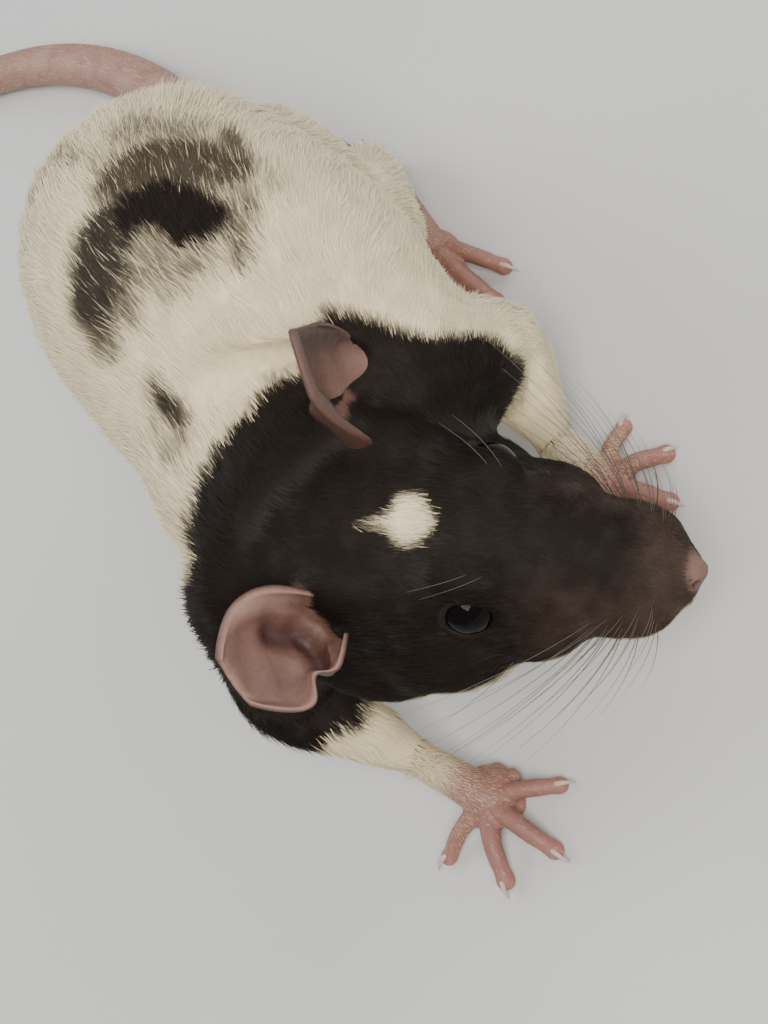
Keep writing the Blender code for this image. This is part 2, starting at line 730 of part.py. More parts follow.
def main():
    for obj in list(bpy.data.objects):
        bpy.data.objects.remove(obj, do_unlink=True)
    scene = bpy.context.scene.collection
    parts = bpy.data.collections.new("rat")
    helpers = bpy.data.collections.new("cutters")
    scene.children.link(parts)
    scene.children.link(helpers)

    dark = material("dark coat", (0.055, 0.045, 0.04), 0.75)
    white = material("pale coat", (0.75, 0.71, 0.62), 0.8)
    pink = material("bare skin", (0.72, 0.46, 0.40), 0.55)
    black = material("eye", (0.01, 0.008, 0.008), 0.08)

    flesh = make_flesh(helpers)
    clear_of_ears = grown(flesh, GAP, helpers)
    head = make_head(flesh, parts, helpers)
    boolean(flesh, "DIFFERENCE", head_region(helpers, GAP))
    neck = copy_of(flesh, "neck", parts)
    boolean(neck, "INTERSECT", neck_region(helpers, 0.0))
    boolean(flesh, "DIFFERENCE", neck_region(helpers, GAP))

    for side, turn in SIDES.items():
        arm = copy_of(flesh, "foreleg_" + side, parts)
        boolean(arm, "INTERSECT", shape_object("arm_" + side, helpers, lambda bm: add_arm_region(bm, side, 0)))
        wrist = Vector(WRIST[side])
        aim = (Vector(PALM[side]) + Vector((0, 0, 3.0)) - wrist).normalized()
        frame = Matrix.Translation(wrist) @ aim.to_track_quat("X", "Z").to_matrix().to_4x4()
        hand = box_object("hand_" + side, frame, (0, -12, -12), (24, 12, 12), helpers)
        boolean(arm, "DIFFERENCE", hand)
        finish(arm, white)
        room = shape_object("arm_room_" + side, helpers, lambda bm: add_arm_region(bm, side, GAP))
        boolean(flesh, "DIFFERENCE", room)
        paw = make_forepaw(side, parts, pink)
        up_arm = box_object("forearm_" + side, frame, (-24, -12, -12), (GAP, 12, 12), helpers)
        boolean(paw, "DIFFERENCE", up_arm)

        thigh = copy_of(flesh, "hind_leg_" + side, parts)
        boolean(thigh, "INTERSECT", shape_object("thigh_" + side, helpers, lambda bm: add_thigh_region(bm, turn, 0)))
        ankle_low, ankle_high = (-60, -60, -20), (60, 60, 7.0)
        boolean(thigh, "DIFFERENCE", box_object("ankle_" + side, HIPS_FRAME, ankle_low, ankle_high, helpers))
        finish(thigh, white)
        room = shape_object("thigh_room_" + side, helpers, lambda bm: add_thigh_region(bm, turn, GAP))
        boolean(flesh, "DIFFERENCE", room)
        foot = make_hind_foot(side, parts, pink)
        over = box_object("shin_" + side, HIPS_FRAME, (-60, -60, 7.0 - GAP), (60, 60, 60), helpers)
        boolean(foot, "DIFFERENCE", over)

    rump_end = toward(Vector(tail_point(GAP / 2)[:3]), Vector(tail_point(3.4)[:3]))
    boolean(flesh, "DIFFERENCE", box_object("tail_room", rump_end, (-GAP, -20, -20), (40, 20, 20), helpers))
    flesh.name = "torso"
    helpers.objects.unlink(flesh)
    parts.objects.link(flesh)
    finish(flesh, white)
    finish(head, dark)
    finish(neck, dark)
    make_eyes(parts, black)
    for side in SIDES:
        make_ear(side, parts, clear_of_ears, pink)
    make_tail(parts, pink)

    for helper in helpers.objects:
        helper.hide_render = True
        helper.display_type = "WIRE"
    for obj in parts.objects:
        obj.data.transform(Matrix.Translation(MODEL_SHIFT * MM))


main()
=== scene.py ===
"""The looks of a hooded pet rat, life size: skin, coat, eyes, ears, paws, tail and whiskers.

Shapes are worked out in millimetres in the animal's own place: it faces -Y, its left is +X, and
the point midway between its eyes is over the origin. AT_HOME moves that place into the frame.
"""

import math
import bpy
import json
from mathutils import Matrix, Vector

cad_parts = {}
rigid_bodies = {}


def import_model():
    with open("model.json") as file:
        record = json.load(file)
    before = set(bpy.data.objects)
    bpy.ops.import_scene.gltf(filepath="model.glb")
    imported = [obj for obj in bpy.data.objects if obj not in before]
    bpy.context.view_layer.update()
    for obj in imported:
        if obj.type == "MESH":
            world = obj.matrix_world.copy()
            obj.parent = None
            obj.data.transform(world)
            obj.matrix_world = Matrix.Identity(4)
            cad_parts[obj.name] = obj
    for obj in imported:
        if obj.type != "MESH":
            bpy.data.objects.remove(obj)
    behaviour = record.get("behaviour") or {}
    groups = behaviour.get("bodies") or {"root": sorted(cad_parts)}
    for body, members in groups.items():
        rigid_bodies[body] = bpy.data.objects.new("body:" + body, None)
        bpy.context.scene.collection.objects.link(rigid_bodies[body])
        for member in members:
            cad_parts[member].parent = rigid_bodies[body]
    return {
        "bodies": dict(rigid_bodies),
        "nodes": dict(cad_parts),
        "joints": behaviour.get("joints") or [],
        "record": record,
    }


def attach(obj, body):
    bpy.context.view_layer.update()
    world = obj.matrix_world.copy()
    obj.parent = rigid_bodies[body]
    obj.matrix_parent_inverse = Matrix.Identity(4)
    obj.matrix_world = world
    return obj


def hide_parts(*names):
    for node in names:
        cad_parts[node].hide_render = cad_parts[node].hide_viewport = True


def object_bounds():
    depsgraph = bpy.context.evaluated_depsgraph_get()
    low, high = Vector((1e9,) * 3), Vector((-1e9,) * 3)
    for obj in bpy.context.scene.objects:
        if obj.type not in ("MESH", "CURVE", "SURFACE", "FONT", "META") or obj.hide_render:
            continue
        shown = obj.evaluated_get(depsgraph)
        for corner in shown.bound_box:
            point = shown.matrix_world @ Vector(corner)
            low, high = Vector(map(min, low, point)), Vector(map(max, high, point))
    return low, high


bl_info = {
    "name": "Hooded pet rat",
    "version": (1, 0, 0),
    "blender": (4, 5, 0),
    "location": "View3D > Sidebar > Rat",
    "description": "Builds the skin, coat and details of a hooded pet rat over its solid model",
    "category": "Object",
}

import bmesh
import bpy
import numpy as np
from bpy.props import FloatProperty, FloatVectorProperty, IntProperty, PointerProperty
from bpy.types import Operator, Panel, PropertyGroup
from mathutils import Matrix, Vector
from mathutils.kdtree import KDTree

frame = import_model()
solid_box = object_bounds()

# Lengths are in millimetres and angles in degrees, and left and right are the animal's own
MM = 0.001
AT_HOME = Vector((47.28, -88.13, 0.0))
SIDES = {"left": 1, "right": -1}

# Head: its own frame has x forward, y to its left and z up, and starts midway between the eyes
HEAD_AT = Vector((0.0, 0.0, 36.0))
HEAD_TURN = -46.4
HEAD_NOD = 21.1
HEAD_TILT = -5.4
HEAD_SCALE = 1.04
HIPS_AT = Vector((-9.0, 76.0, 0.0))
HIPS_TURN = -100.0

EYE_RADIUS = 3.7
EYE_AT = {"left": Vector((-1.0, 8.5, -1.3)), "right": Vector((-1.0, -8.5, -1.3))}
EYE_LOOKS = {"left": Vector((0.385, 0.723, 0.574)), "right": Vector((0.385, -0.723, 0.574))}
LID_HALF_LENGTH = 3.65
LID_HALF_HEIGHT = 2.7
LID_STEPS = 64
LID_SIDES = 10

SHOULDER = {"left": (3.0, 26.5, 34.5), "right": (-28.4, 19.6, 36.0)}
ELBOW = {"left": (12.0, 32.0, 19.0), "right": (-40.4, 15.6, 21.0)}
WRIST = {"left": (8.4, 21.4, 8.0), "right": (-35.6, 1.0, 8.0)}
PALM = {"left": (8.5, 14.5, 0.0), "right": (-32.5, -7.9, 0.0)}
PALM_TURN = {"left": -38.0, "right": -98.0}
TOE_STRETCH = {"left": 0.82, "right": 1.0}

# Each ear: where it grows, the way it stands and the way its cup opens, in the head's frame, then
# its length, its width, how far one corner of its tip is drawn out and how tightly its root is rolled
EARS = {
    "left": ((-17.5, 10.1, 3.7), (-0.25, 0.44, 0.86), (0.85, 0.25, 0.36), 17.0, 15.6, 2.2, 122.0),
    "right": ((-18.8, -15.6, 3.5), (-0.57, -0.72, 0.39), (0.45, 0.02, 0.89), 11.0, 15.0, 0.0, 80.0),
}
EAR_SINKS = 3.5
EAR_CLEAR = {"left": 2.3, "right": 1.7}

TAIL_LENGTH = 172.0
TAIL_ROOT = Vector((-8.1, 103.0, 19.5))
TAIL_ROOT_RADIUS = 5.2
TAIL_TIP_RADIUS = 1.1
TAIL_TURN_START = 80.0
TAIL_TURN_END = 215.0

# Toes: the angle each stands at from the paw's middle, its length and its radius
FORE_TOES = ((-67.0, 11.2, 1.45), (-22.0, 13.1, 1.55), (21.0, 12.2, 1.55), (76.0, 11.6, 1.4))
HIND_TOES = (
    (-26.0, 10.0, 1.5),
    (-11.0, 12.6, 1.75),
    (0.0, 13.2, 1.8),
    (11.0, 12.6, 1.75),
    (30.0, 9.6, 1.5),
)

FLESH = ("head", "neck", "torso", "foreleg_left", "foreleg_right", "hind_leg_left", "hind_leg_right")


def rotation(axis, degrees):
    """A turn about one axis."""
    return Matrix.Rotation(math.radians(degrees), 4, axis)


def heading(degrees):
    """The level direction at this angle from +X."""
    angle = math.radians(degrees)
    return Vector((math.cos(angle), math.sin(angle), 0.0))


def level_frame(at, turn):
    """A place with z up, turned about it."""
    return Matrix.Translation(at) @ rotation("Z", turn)


HEAD_FRAME = (
    Matrix.Translation(HEAD_AT)
    @ rotation("Z", HEAD_TURN)
    @ rotation("Y", HEAD_NOD)
    @ rotation("X", HEAD_TILT)
    @ Matrix.Scale(HEAD_SCALE, 4)
)
HIPS_FRAME = level_frame(HIPS_AT, HIPS_TURN)


def through(matrix, points):
    """The rows of points, each moved by the matrix."""
    turn = np.array(matrix.to_3x3())
    return points @ turn.T + np.array(matrix.translation)


def in_head(points):
    """The points in the head's own frame."""
    return through(HEAD_FRAME.inverted(), points)


def unit(rows):
    """The rows, each with a length of 1."""
    return rows / np.maximum(np.linalg.norm(rows, axis=1, keepdims=True), 1e-9)


def ramp(value, low, high):
    """Rises smoothly from 0 at low to 1 at high."""
    t = np.clip((value - low) / (high - low), 0.0, 1.0)
    return t * t * (3 - 2 * t)


def ripple(points, scale, seed):
    """A smooth random value from about -1 to 1 that changes over this many millimetres."""
    random = np.random.default_rng(seed)
    total = np.zeros(len(points))
    for _ in range(7):
        way = random.normal(size=3)
        way *= 2 * math.pi / scale * random.uniform(0.6, 1.5) / np.linalg.norm(way)
        total += np.sin(points @ way + random.uniform(0, 2 * math.pi))
    return total / 2.6


def stretches(points, line):
    """Each stretch of a line: its two ends, how far along it each point lies and how far off it."""
    rows = np.array(line, float)
    for near, far in zip(rows, rows[1:]):
        run = far[:3] - near[:3]
        share = np.clip((points - near[:3]) @ run / (run @ run), 0.0, 1.0)
        yield near, far, share, np.linalg.norm(points - near[:3] - share[:, None] * run, axis=1)


def line_distance(points, line):
    """How far each point is from a line."""
    return np.min([away for _, _, _, away in stretches(points, line)], axis=0)


# Making and joining shapes


def curve_through(points, steps):
    """A smooth curve through rows of numbers, with this many steps from one row to the next."""
    rows = [list(row) for row in points]
    rows = [rows[0]] + rows + [rows[-1]]
    result = []
    for i in range(1, len(rows) - 2):
        before, start, end, after = rows[i - 1 : i + 3]
        for step in range(steps):
            t = step / steps
            row = []
            for p0, p1, p2, p3 in zip(before, start, end, after):
                bend = 2 * p0 - 5 * p1 + 4 * p2 - p3
                twist = 3 * p1 - p0 - 3 * p2 + p3
                row.append(0.5 * (2 * p1 + (p2 - p0) * t + bend * t * t + twist * t**3))
            result.append(row)
    result.append(rows[-2])
    return result


def add_rings(bm, rings):
    """Closes a tube over the rings of points, with a fan at each end."""
    loops = [[bm.verts.new(point) for point in ring] for ring in rings]
    count = len(loops[0])
    for near, far in zip(loops, loops[1:]):
        for i in range(count):
            j = (i + 1) % count
            bm.faces.new((near[i], near[j], far[j], far[i]))
    for loop, turned in ((loops[0], True), (loops[-1], False)):
        pole = bm.verts.new(sum((vert.co for vert in loop), Vector()) / count)
        for i in range(count):
            j = (i + 1) % count
            corners = (loop[j], loop[i], pole) if turned else (loop[i], loop[j], pole)
            bm.faces.new(corners)


def add_limb(bm, joints, frame=None, sides=12, steps=3):
    """A round limb through rows of x, y, z and radius, with both ends rounded."""
    place = frame or Matrix.Identity(4)
    rows = curve_through(joints, steps)
    first, last = Vector(rows[0][:3]), Vector(rows[-1][:3])
    outward = (first - Vector(rows[1][:3])).normalized()
    onward = (last - Vector(rows[-2][:3])).normalized()
    bends = [math.radians(angle) for angle in (30, 55, 75)]
    start = [(*(first + outward * rows[0][3] * math.sin(a)), rows[0][3] * math.cos(a)) for a in bends]
    end = [(*(last + onward * rows[-1][3] * math.sin(a)), rows[-1][3] * math.cos(a)) for a in bends]
    rows = start[::-1] + rows + end
    rings = []
    side = None
    for i, row in enumerate(rows):
        ahead = Vector(rows[min(i + 1, len(rows) - 1)][:3])
        behind = Vector(rows[max(i - 1, 0)][:3])
        along = (ahead - behind).normalized()
        level = side or along.orthogonal()
        side = (level - along * level.dot(along)).normalized()
        up = along.cross(side)
        ring = []
        for k in range(sides):
            angle = 2 * math.pi * k / sides
            offset = side * math.cos(angle) + up * math.sin(angle)
            ring.append(place @ (Vector(row[:3]) + offset * row[3]))
        rings.append(ring)
    add_rings(bm, rings)


def add_ball(bm, centre, radii, frame=None, sides=20):
    """An ellipsoid about a centre."""
    place = (frame or Matrix.Identity(4)) @ Matrix.Translation(centre) @ Matrix.Diagonal((*radii, 1.0))
    bmesh.ops.create_uvsphere(bm, u_segments=sides, v_segments=sides * 2 // 3, radius=1.0, matrix=place)


def object_of(name, points, faces):
    """An object from points in millimetres and an array with one row of corners for each face."""
    mesh = bpy.data.meshes.new(name)
    faces = np.asarray(faces, np.int32)
    count, corners = faces.shape
    mesh.vertices.add(len(points))
    mesh.vertices.foreach_set("co", ((np.asarray(points) + np.array(AT_HOME)) * MM).ravel())
    mesh.loops.add(count * corners)
    mesh.loops.foreach_set("vertex_index", faces.ravel())
    mesh.polygons.add(count)
    mesh.polygons.foreach_set("loop_start", np.arange(0, count * corners, corners))
    mesh.update(calc_edges=True)
    mesh.shade_smooth()
    obj = bpy.data.objects.new(name, mesh)
    bpy.context.scene.collection.objects.link(obj)
    return obj


def rings_round(path, side, up, radius, sides):
    """Rings of points round a path, one after another."""
    angles = 2 * np.pi * np.arange(sides) / sides
    ring = side[:, None] * np.cos(angles)[None, :, None] + up[:, None] * np.sin(angles)[None, :, None]
    return (path[:, None] + ring * radius[:, None, None]).reshape(-1, 3)


def ring_faces(steps, sides, first=0, closed=False):
    """The faces between rings of points that follow one another, and back to the first if closed."""
    index = first + np.arange(steps * sides).reshape(steps, sides)
    if closed:
        index = np.concatenate([index, index[:1]])
    turned = np.roll(index, -1, axis=1)
    return np.stack([index[:-1], turned[:-1], turned[1:], index[1:]], axis=-1).reshape(-1, 4)


def close_ends(obj):
    """Fills the open ends of an object's tubes, and turns every face outward."""
    bm = bmesh.new()
    bm.from_mesh(obj.data)
    bmesh.ops.holes_fill(bm, edges=[edge for edge in bm.edges if edge.is_boundary], sides=0)
    bmesh.ops.recalc_face_normals(bm, faces=bm.faces)
    bm.to_mesh(obj.data)
    bm.free()
    obj.data.shade_smooth()


def object_from(bm, name):
    """An object from a mesh being edited, whose points are in millimetres."""
    bmesh.ops.recalc_face_normals(bm, faces=bm.faces)
    bm.transform(Matrix.Scale(MM, 4) @ Matrix.Translation(AT_HOME))
    mesh = bpy.data.meshes.new(name)
    bm.to_mesh(mesh)
    bm.free()
    mesh.shade_smooth()
    obj = bpy.data.objects.new(name, mesh)
    bpy.context.scene.collection.objects.link(obj)
    return obj


def settle(obj):
    """Turns the object's modifiers into its mesh."""
    graph = bpy.context.evaluated_depsgraph_get()
    mesh = bpy.data.meshes.new_from_object(obj.evaluated_get(graph))
    obj.modifiers.clear()
    old = obj.data
    obj.data = mesh
    bpy.data.meshes.remove(old)
    mesh.name = obj.name
    mesh.shade_smooth()


def fuse(obj, voxel, smooth_turns, swell=0.0):
    """Makes one skin over all the shapes in the object, and rounds the creases between them."""
    if swell:
        grow = obj.modifiers.new("grow", "DISPLACE")
        grow.strength = swell * MM
        grow.mid_level = 0.0
    remesh = obj.modifiers.new("one skin", "REMESH")
    remesh.mode = "VOXEL"
    remesh.voxel_size = voxel * MM
    remesh.adaptivity = 0.0
    smooth = obj.modifiers.new("soft creases", "SMOOTH")
    smooth.factor = 0.5
    smooth.iterations = smooth_turns
    settle(obj)


def rows_of(items, name, width, kind=float):
    """What each item of a mesh keeps under this name, one row of numbers for each."""
    values = np.empty(len(items) * width, kind)
    items.foreach_get(name, values)
    return values.reshape(-1, width)


def points_of(mesh):
    """The mesh's points in millimetres, in the animal's own place."""
    return rows_of(mesh.vertices, "co", 3) / MM - np.array(AT_HOME)


def set_points(mesh, points):
    """Moves the mesh's points to these places in millimetres."""
    mesh.vertices.foreach_set("co", ((points + np.array(AT_HOME)) * MM).ravel())
    mesh.update()


def normals_of(mesh):
    """The way the mesh faces at each of its points."""
    return rows_of(mesh.vertex_normals, "vector", 3)


def store(mesh, name, values):
    """Keeps one number for each point of the mesh, for its material."""
    attribute = mesh.attributes.get(name) or mesh.attributes.new(name, "FLOAT", "POINT")
    attribute.data.foreach_set("value", np.asarray(values, np.float32))


# Markings: each blot is a line of x, y, z and radius, with its strength and how softly it ends

FOREHEAD_SPOT = (
    ((-7.8, 0.0, 8.3, 1.4), (-7.2, -1.5, 8.3, 2.1), (-7.7, -3.0, 8.2, 1.4)),
    ((-8.6, -1.7, 8.3, 1.4), (-10.8, -2.2, 8.3, 0.3), (-13.4, -2.8, 8.4, -0.3)),
)
HEAD_FLECK = ((-19.2, -2.5, 8.5, 0.25), (-20.6, -2.3, 8.5, 0.25))
BACK_BLOTS = (
    (
        ((-3.5, 58.2, 64.6, 3.6), (-0.2, 56.9, 63.6, 4.4), (1.8, 52.3, 62.6, 4.6), (4.3, 48.6, 61.2, 3.0)),
        1.0,
        3.2,
    ),
    (
        (
            *((-5.0, 58.2, 64.7, 4.0), (-9.3, 57.5, 64.9, 4.9)),
            *((-13.0, 55.8, 64.4, 4.8), (-16.3, 53.8, 63.2, 4.2)),
        ),
        0.95,
        3.2,
    ),
    (((-16.3, 53.8, 63.2, 4.0), (-18.4, 50.2, 61.8, 2.8)), 0.85, 3.4),
    (((-9.0, 52.6, 64.2, 2.0), (-11.2, 49.6, 63.5, 1.8), (-13.1, 46.3, 62.6, 1.1)), 0.8, 2.4),
    (
        ((-1.0, 64.5, 63.8, 4.2), (3.9, 61.6, 61.9, 5.0), (7.2, 58.4, 60.2, 4.9), (9.6, 55.4, 58.2, 3.4)),
        0.88,
        3.6,
    ),
    (
        ((11.9, 63.2, 55.0, 1.3), (10.3, 55.1, 57.6, 1.7), (7.8, 48.2, 59.0, 1.6), (3.4, 42.1, 59.9, 0.8)),
        0.82,
        2.0,
    ),
    (((9.4, 62.0, 58.0, 1.2), (7.8, 55.9, 59.6, 1.5), (5.9, 50.9, 60.5, 1.4)), 0.8, 1.8),
    (((-6.6, 50.9, 63.8, 3.4), (-4.1, 48.1, 63.0, 3.4), (-1.6, 45.2, 62.1, 2.2)), 0.62, 4.0),
    (((1.6, 73.6, 60.4, 2.6), (7.6, 67.0, 59.0, 3.6)), 0.58, 4.2),
    (
        ((-15.5, 81.2, 59.3, 0.9), (-8.9, 82.3, 59.3, 1.1), (-4.4, 73.2, 62.9, 0.9), (-2.1, 67.6, 63.7, 0.9)),
        0.5,
        2.4,
    ),
    (((-16.9, 38.2, 58.7, 1.4), (-17.0, 34.9, 58.1, 2.0), (-17.2, 32.6, 57.5, 1.3)), 0.96, 2.0),
    (
        (
            *((-17.1, 39.0, 58.6, 0.7), (-21.4, 35.5, 56.8, 0.7)),
            *((-22.0, 32.3, 56.3, 1.2), (-18.6, 31.5, 57.0, 1.2)),
        ),
        0.55,
        2.6,
    ),
    (((11.6, 49.7, 56.1, 0.9), (13.6, 53.1, 54.1, 0.9)), 0.28, 3.0),
)
# The white of each arm, which the hood stops at
SLEEVES = (
    (((19.0, 34.0, 30.0, 7.0), (18.0, 29.0, 20.0, 5.5), (14.0, 24.5, 13.0, 4.5), (9.0, 19.0, 8.0, 5.0)), 1.2),
    (((-41.0, 2.6, 15.0, 5.2), (-36.0, 0.0, 8.0, 6.5)), 1.2),
)
HOOD_LOW = 16.5


def blot(points, line, soft):
    """1 within the line's radii, falling softly to 0."""
    beyond = []
    for near, far, share, away in stretches(points, line):
        beyond.append(away - near[3] - share * (far[3] - near[3]))
    return ramp(-np.min(beyond, axis=0), -soft, soft * 0.4)


def dark_share(points):
    """How dark the coat is at each point: 1 in the hood and the blots, 0 where it is cream."""
    head = in_head(points)
    wobble = ripple(points, 9.0, 3) * 0.7 + ripple(points, 3.5, 4) * 0.4
    rear = 24.2 + 3.6 * np.exp(-(((points[:, 0] + 5.0) / 8.0) ** 2)) + wobble
    in_hood = np.minimum(rear - points[:, 1], points[:, 2] - HOOD_LOW + wobble)
    on_head = np.minimum(head[:, 0] + 22.0, np.minimum(head[:, 2] + 17.0, 24.0 - np.abs(head[:, 1])))
    dark = ramp(np.maximum(in_hood, on_head), -1.3, 1.3)
    for line, soft in SLEEVES:
        dark *= 1 - blot(points, line, soft)
    lip = np.minimum(-13.0 + 0.3 * (head[:, 0] + 2.0), -9.6) + 0.4 * ripple(points, 4.0, 6)
    chin = ramp(head[:, 0], -14.0, -4.0) * ramp(lip - head[:, 2], -0.9, 0.9)
    dark *= 1 - 0.82 * chin
    for line, strength, soft in BACK_BLOTS:
        dark = np.maximum(dark, strength * blot(points + wobble[:, None] * 0.5, line, soft))
    for line in FOREHEAD_SPOT:
        dark *= 1 - blot(head, line, 1.3)
    dark *= 1 - 0.75 * blot(head, HEAD_FLECK, 0.5)
    return dark


def brown_share(points):
    """How far the hood has turned to the warm brown of the muzzle: least on the bridge of the nose."""
    head = in_head(points)
    ahead = ramp(head[:, 0], 15.0, 21.5)
    beside = ramp(np.abs(head[:, 1]), 3.4, 8.2) * ramp(head[:, 0], 2.0, 14.0)
    brown = np.clip(ahead + 0.85 * beside + 0.1 * ripple(points, 3.0, 5), 0.0, 1.0)
    return brown * ramp(head[:, 0], 0.0, 6.0)


def bare_share(points):
    """1 on the nose and lips, where skin shows."""
    head = in_head(points)
    nose = ramp(-np.linalg.norm((head - (25.2, 0.0, -6.6)) / (2.6, 2.6, 2.3), axis=1), -1.3, -0.75)
    lip = ramp(-np.linalg.norm((head - (24.0, 0.0, -11.2)) / (3.4, 2.8, 1.2), axis=1), -1.25, -0.85)
    return np.maximum(nose, lip)


# Lie of the coat: it follows these lines, from the nose to the tail and down each leg


def head_line(*rows):
    """A line whose rows are given in the head's frame."""
    return [tuple(HEAD_FRAME @ Vector(row)) for row in rows]


def hips_line(*rows):
    """A line whose rows are given in the hips' frame."""
    return [tuple(HIPS_FRAME @ Vector(row)) for row in rows]


def coat_lines():
    """Every line that the hair follows, as rows of x, y and z."""
    brow = head_line((26, 0, -6), (12, 0, 0), (0, 0, 7), (-14, 0, 9), (-26, 0, 8))
    back = [(-12, 22, 54), (-11, 40, 58), (-8, 60, 62), (-8, 80, 56), (-8, 93, 38), (-8, 106, 20)]
    throat = head_line((24, 0, -12), (8, 0, -17), (-12, 0, -24))
    belly = [(-12, 24, 20), (-9, 45, 16), (-8, 70, 14), (-8, 95, 15)]
    lines = [brow + back, throat + belly]
    for side, turn in SIDES.items():
        cheek = ((24, 3, -9), (8, 11, -8), (-10, 17, -8), (-28, 20, -8))
        thigh = ((-4, 22, 40), (4, 26, 24), (-4, 24, 10), (-14, 20, 5))
        flank = ((-9, 20, 30, 36), (-8, 27, 55, 34), (-8, 24, 80, 30), (-8, 10, 98, 22))
        lines.append(head_line(*((x, y * turn, z) for x, y, z in cheek)))
        lines.append([SHOULDER[side], ELBOW[side], WRIST[side], (*PALM[side][:2], 4.0)])
        lines.append(hips_line(*((x, y * turn, z) for x, y, z in thigh)))
        lines.append([(middle + out * turn, y, z) for middle, out, y, z in flank])
    return lines


def coat_lie(points, normals):
    """The way the hair lies at each point, along the skin."""
    total = np.zeros_like(points)
    for line in coat_lines():
        for near, far, _, away in stretches(points, line):
            way = (far - near) / np.linalg.norm(far - near)
            total += way / (away[:, None] ** 2 + 9.0) ** 1.5
    total = unit(total)
    flank = ramp(np.abs(normals[:, 0]), 0.25, 0.9) * ramp(points[:, 1], 20.0, 40.0)
    total[:, 2] -= 0.45 * flank
    total -= normals * np.sum(total * normals, axis=1, keepdims=True)
    return unit(total)


# Materials


def new_material(name, roughness, specular):
    """A plain material, with its nodes, its links and its shader."""
    made = bpy.data.materials.new(name)
    made.use_nodes = True
    shader = made.node_tree.nodes["Principled BSDF"]
    shader.inputs["Roughness"].default_value = roughness
    shader.inputs["Specular IOR Level"].default_value = specular
    return made, made.node_tree.nodes, made.node_tree.links, shader


def number(nodes, name):
    """The number that the mesh keeps under this name."""
    node = nodes.new("ShaderNodeAttribute")
    node.attribute_name = name
    return node.outputs["Fac"]


def math_node(nodes, links, operation, *inputs):
    """The result of a sum, whose inputs are numbers or sockets."""
    node = nodes.new("ShaderNodeMath")
    node.operation = operation
    for socket, value in zip(node.inputs, inputs):
        if isinstance(value, (int, float)):
            socket.default_value = value
        else:
            links.new(value, socket)
    return node.outputs[0]


def mix_colour(nodes, links, share, first, second):
    """The first colour turned towards the second by this share."""
    node = nodes.new("ShaderNodeMix")
    node.data_type = "RGBA"
    for socket, value in ((node.inputs[0], share), (node.inputs[6], first), (node.inputs[7], second)):
        if isinstance(value, (int, float)):
            socket.default_value = value
        elif isinstance(value, (tuple, list)):
            socket.default_value = (*value, 1.0)
        else:
            links.new(value, socket)
    return node.outputs[2]


def new_group(name, inputs, output, kind):
    """An empty node group with numbers as its inputs and one output of this kind."""
    group = bpy.data.node_groups.new(name, "ShaderNodeTree")
    for title in inputs:
        group.interface.new_socket(title, in_out="INPUT", socket_type="NodeSocketFloat")
    group.interface.new_socket(output, in_out="OUTPUT", socket_type=kind)
    return group


def grain_group():
    """A node group of soft grain over a piece, in the animal's own place."""
    found = bpy.data.node_groups.get("Grain")
    if found:
        return found
    group = new_group("Grain", ("Scale", "Detail"), "Height", "NodeSocketFloat")
    nodes, links = group.nodes, group.links
    given = nodes.new("NodeGroupInput").outputs
    made = nodes.new("ShaderNodeTexNoise")
    links.new(nodes.new("ShaderNodeTexCoord").outputs["Object"], made.inputs["Vector"])
    links.new(given["Scale"], made.inputs["Scale"])
    links.new(given["Detail"], made.inputs["Detail"])
    links.new(made.outputs["Fac"], nodes.new("NodeGroupOutput").inputs["Height"])
    return group


def grain(nodes, scale, detail=3.0):
    """Grain of this many lumps to a metre."""
    node = nodes.new("ShaderNodeGroup")
    node.node_tree = grain_group()
    node.inputs["Scale"].default_value = scale
    node.inputs["Detail"].default_value = detail
    return node.outputs["Height"]


def bump(nodes, links, height, strength, distance, shader):
    """Roughens the shader's surface by this height."""
    node = nodes.new("ShaderNodeBump")
    node.inputs["Strength"].default_value = strength
    node.inputs["Distance"].default_value = distance
    links.new(height, node.inputs["Height"])
    links.new(node.outputs[0], shader.inputs["Normal"])


def coat_colours(colours):
    """A node group that turns the coat's numbers into its colour, for the skin and the hair alike."""
    found = bpy.data.node_groups.get("Coat colours")
    if found:
        return found
    group = new_group("Coat colours", ("Dark", "Brown", "Along", "Tone"), "Colour", "NodeSocketColor")
    nodes, links = group.nodes, group.links
    given = nodes.new("NodeGroupInput").outputs
    cream = mix_colour(nodes, links, given["Along"], tuple(colours.cream_root), tuple(colours.cream))
    hood = mix_colour(nodes, links, given["Along"], tuple(colours.hood_root), tuple(colours.hood))
    hood = mix_colour(nodes, links, given["Brown"], hood, tuple(colours.muzzle))
    colour = mix_colour(nodes, links, given["Dark"], cream, hood)
    light = math_node(nodes, links, "MULTIPLY_ADD", given["Tone"], 0.5, 0.75)
    shade = nodes.new("ShaderNodeVectorMath")
    shade.operation = "SCALE"
    links.new(colour, shade.inputs[0])
    links.new(light, shade.inputs["Scale"])
    links.new(shade.outputs[0], nodes.new("NodeGroupOutput").inputs["Colour"])
    return group


def coat_material(colours):
    """The hair, whose colour changes with its place and towards its tip."""
    found = bpy.data.materials.get("Coat")
    if found:
        return found
    made, nodes, links, shader = new_material("Coat", 0.6, 0.13)
    group = nodes.new("ShaderNodeGroup")
    group.node_tree = coat_colours(colours)
    for name in ("Dark", "Brown", "Along", "Tone"):
        links.new(number(nodes, name.lower()), group.inputs[name])
    links.new(group.outputs[0], shader.inputs["Base Color"])
    return made


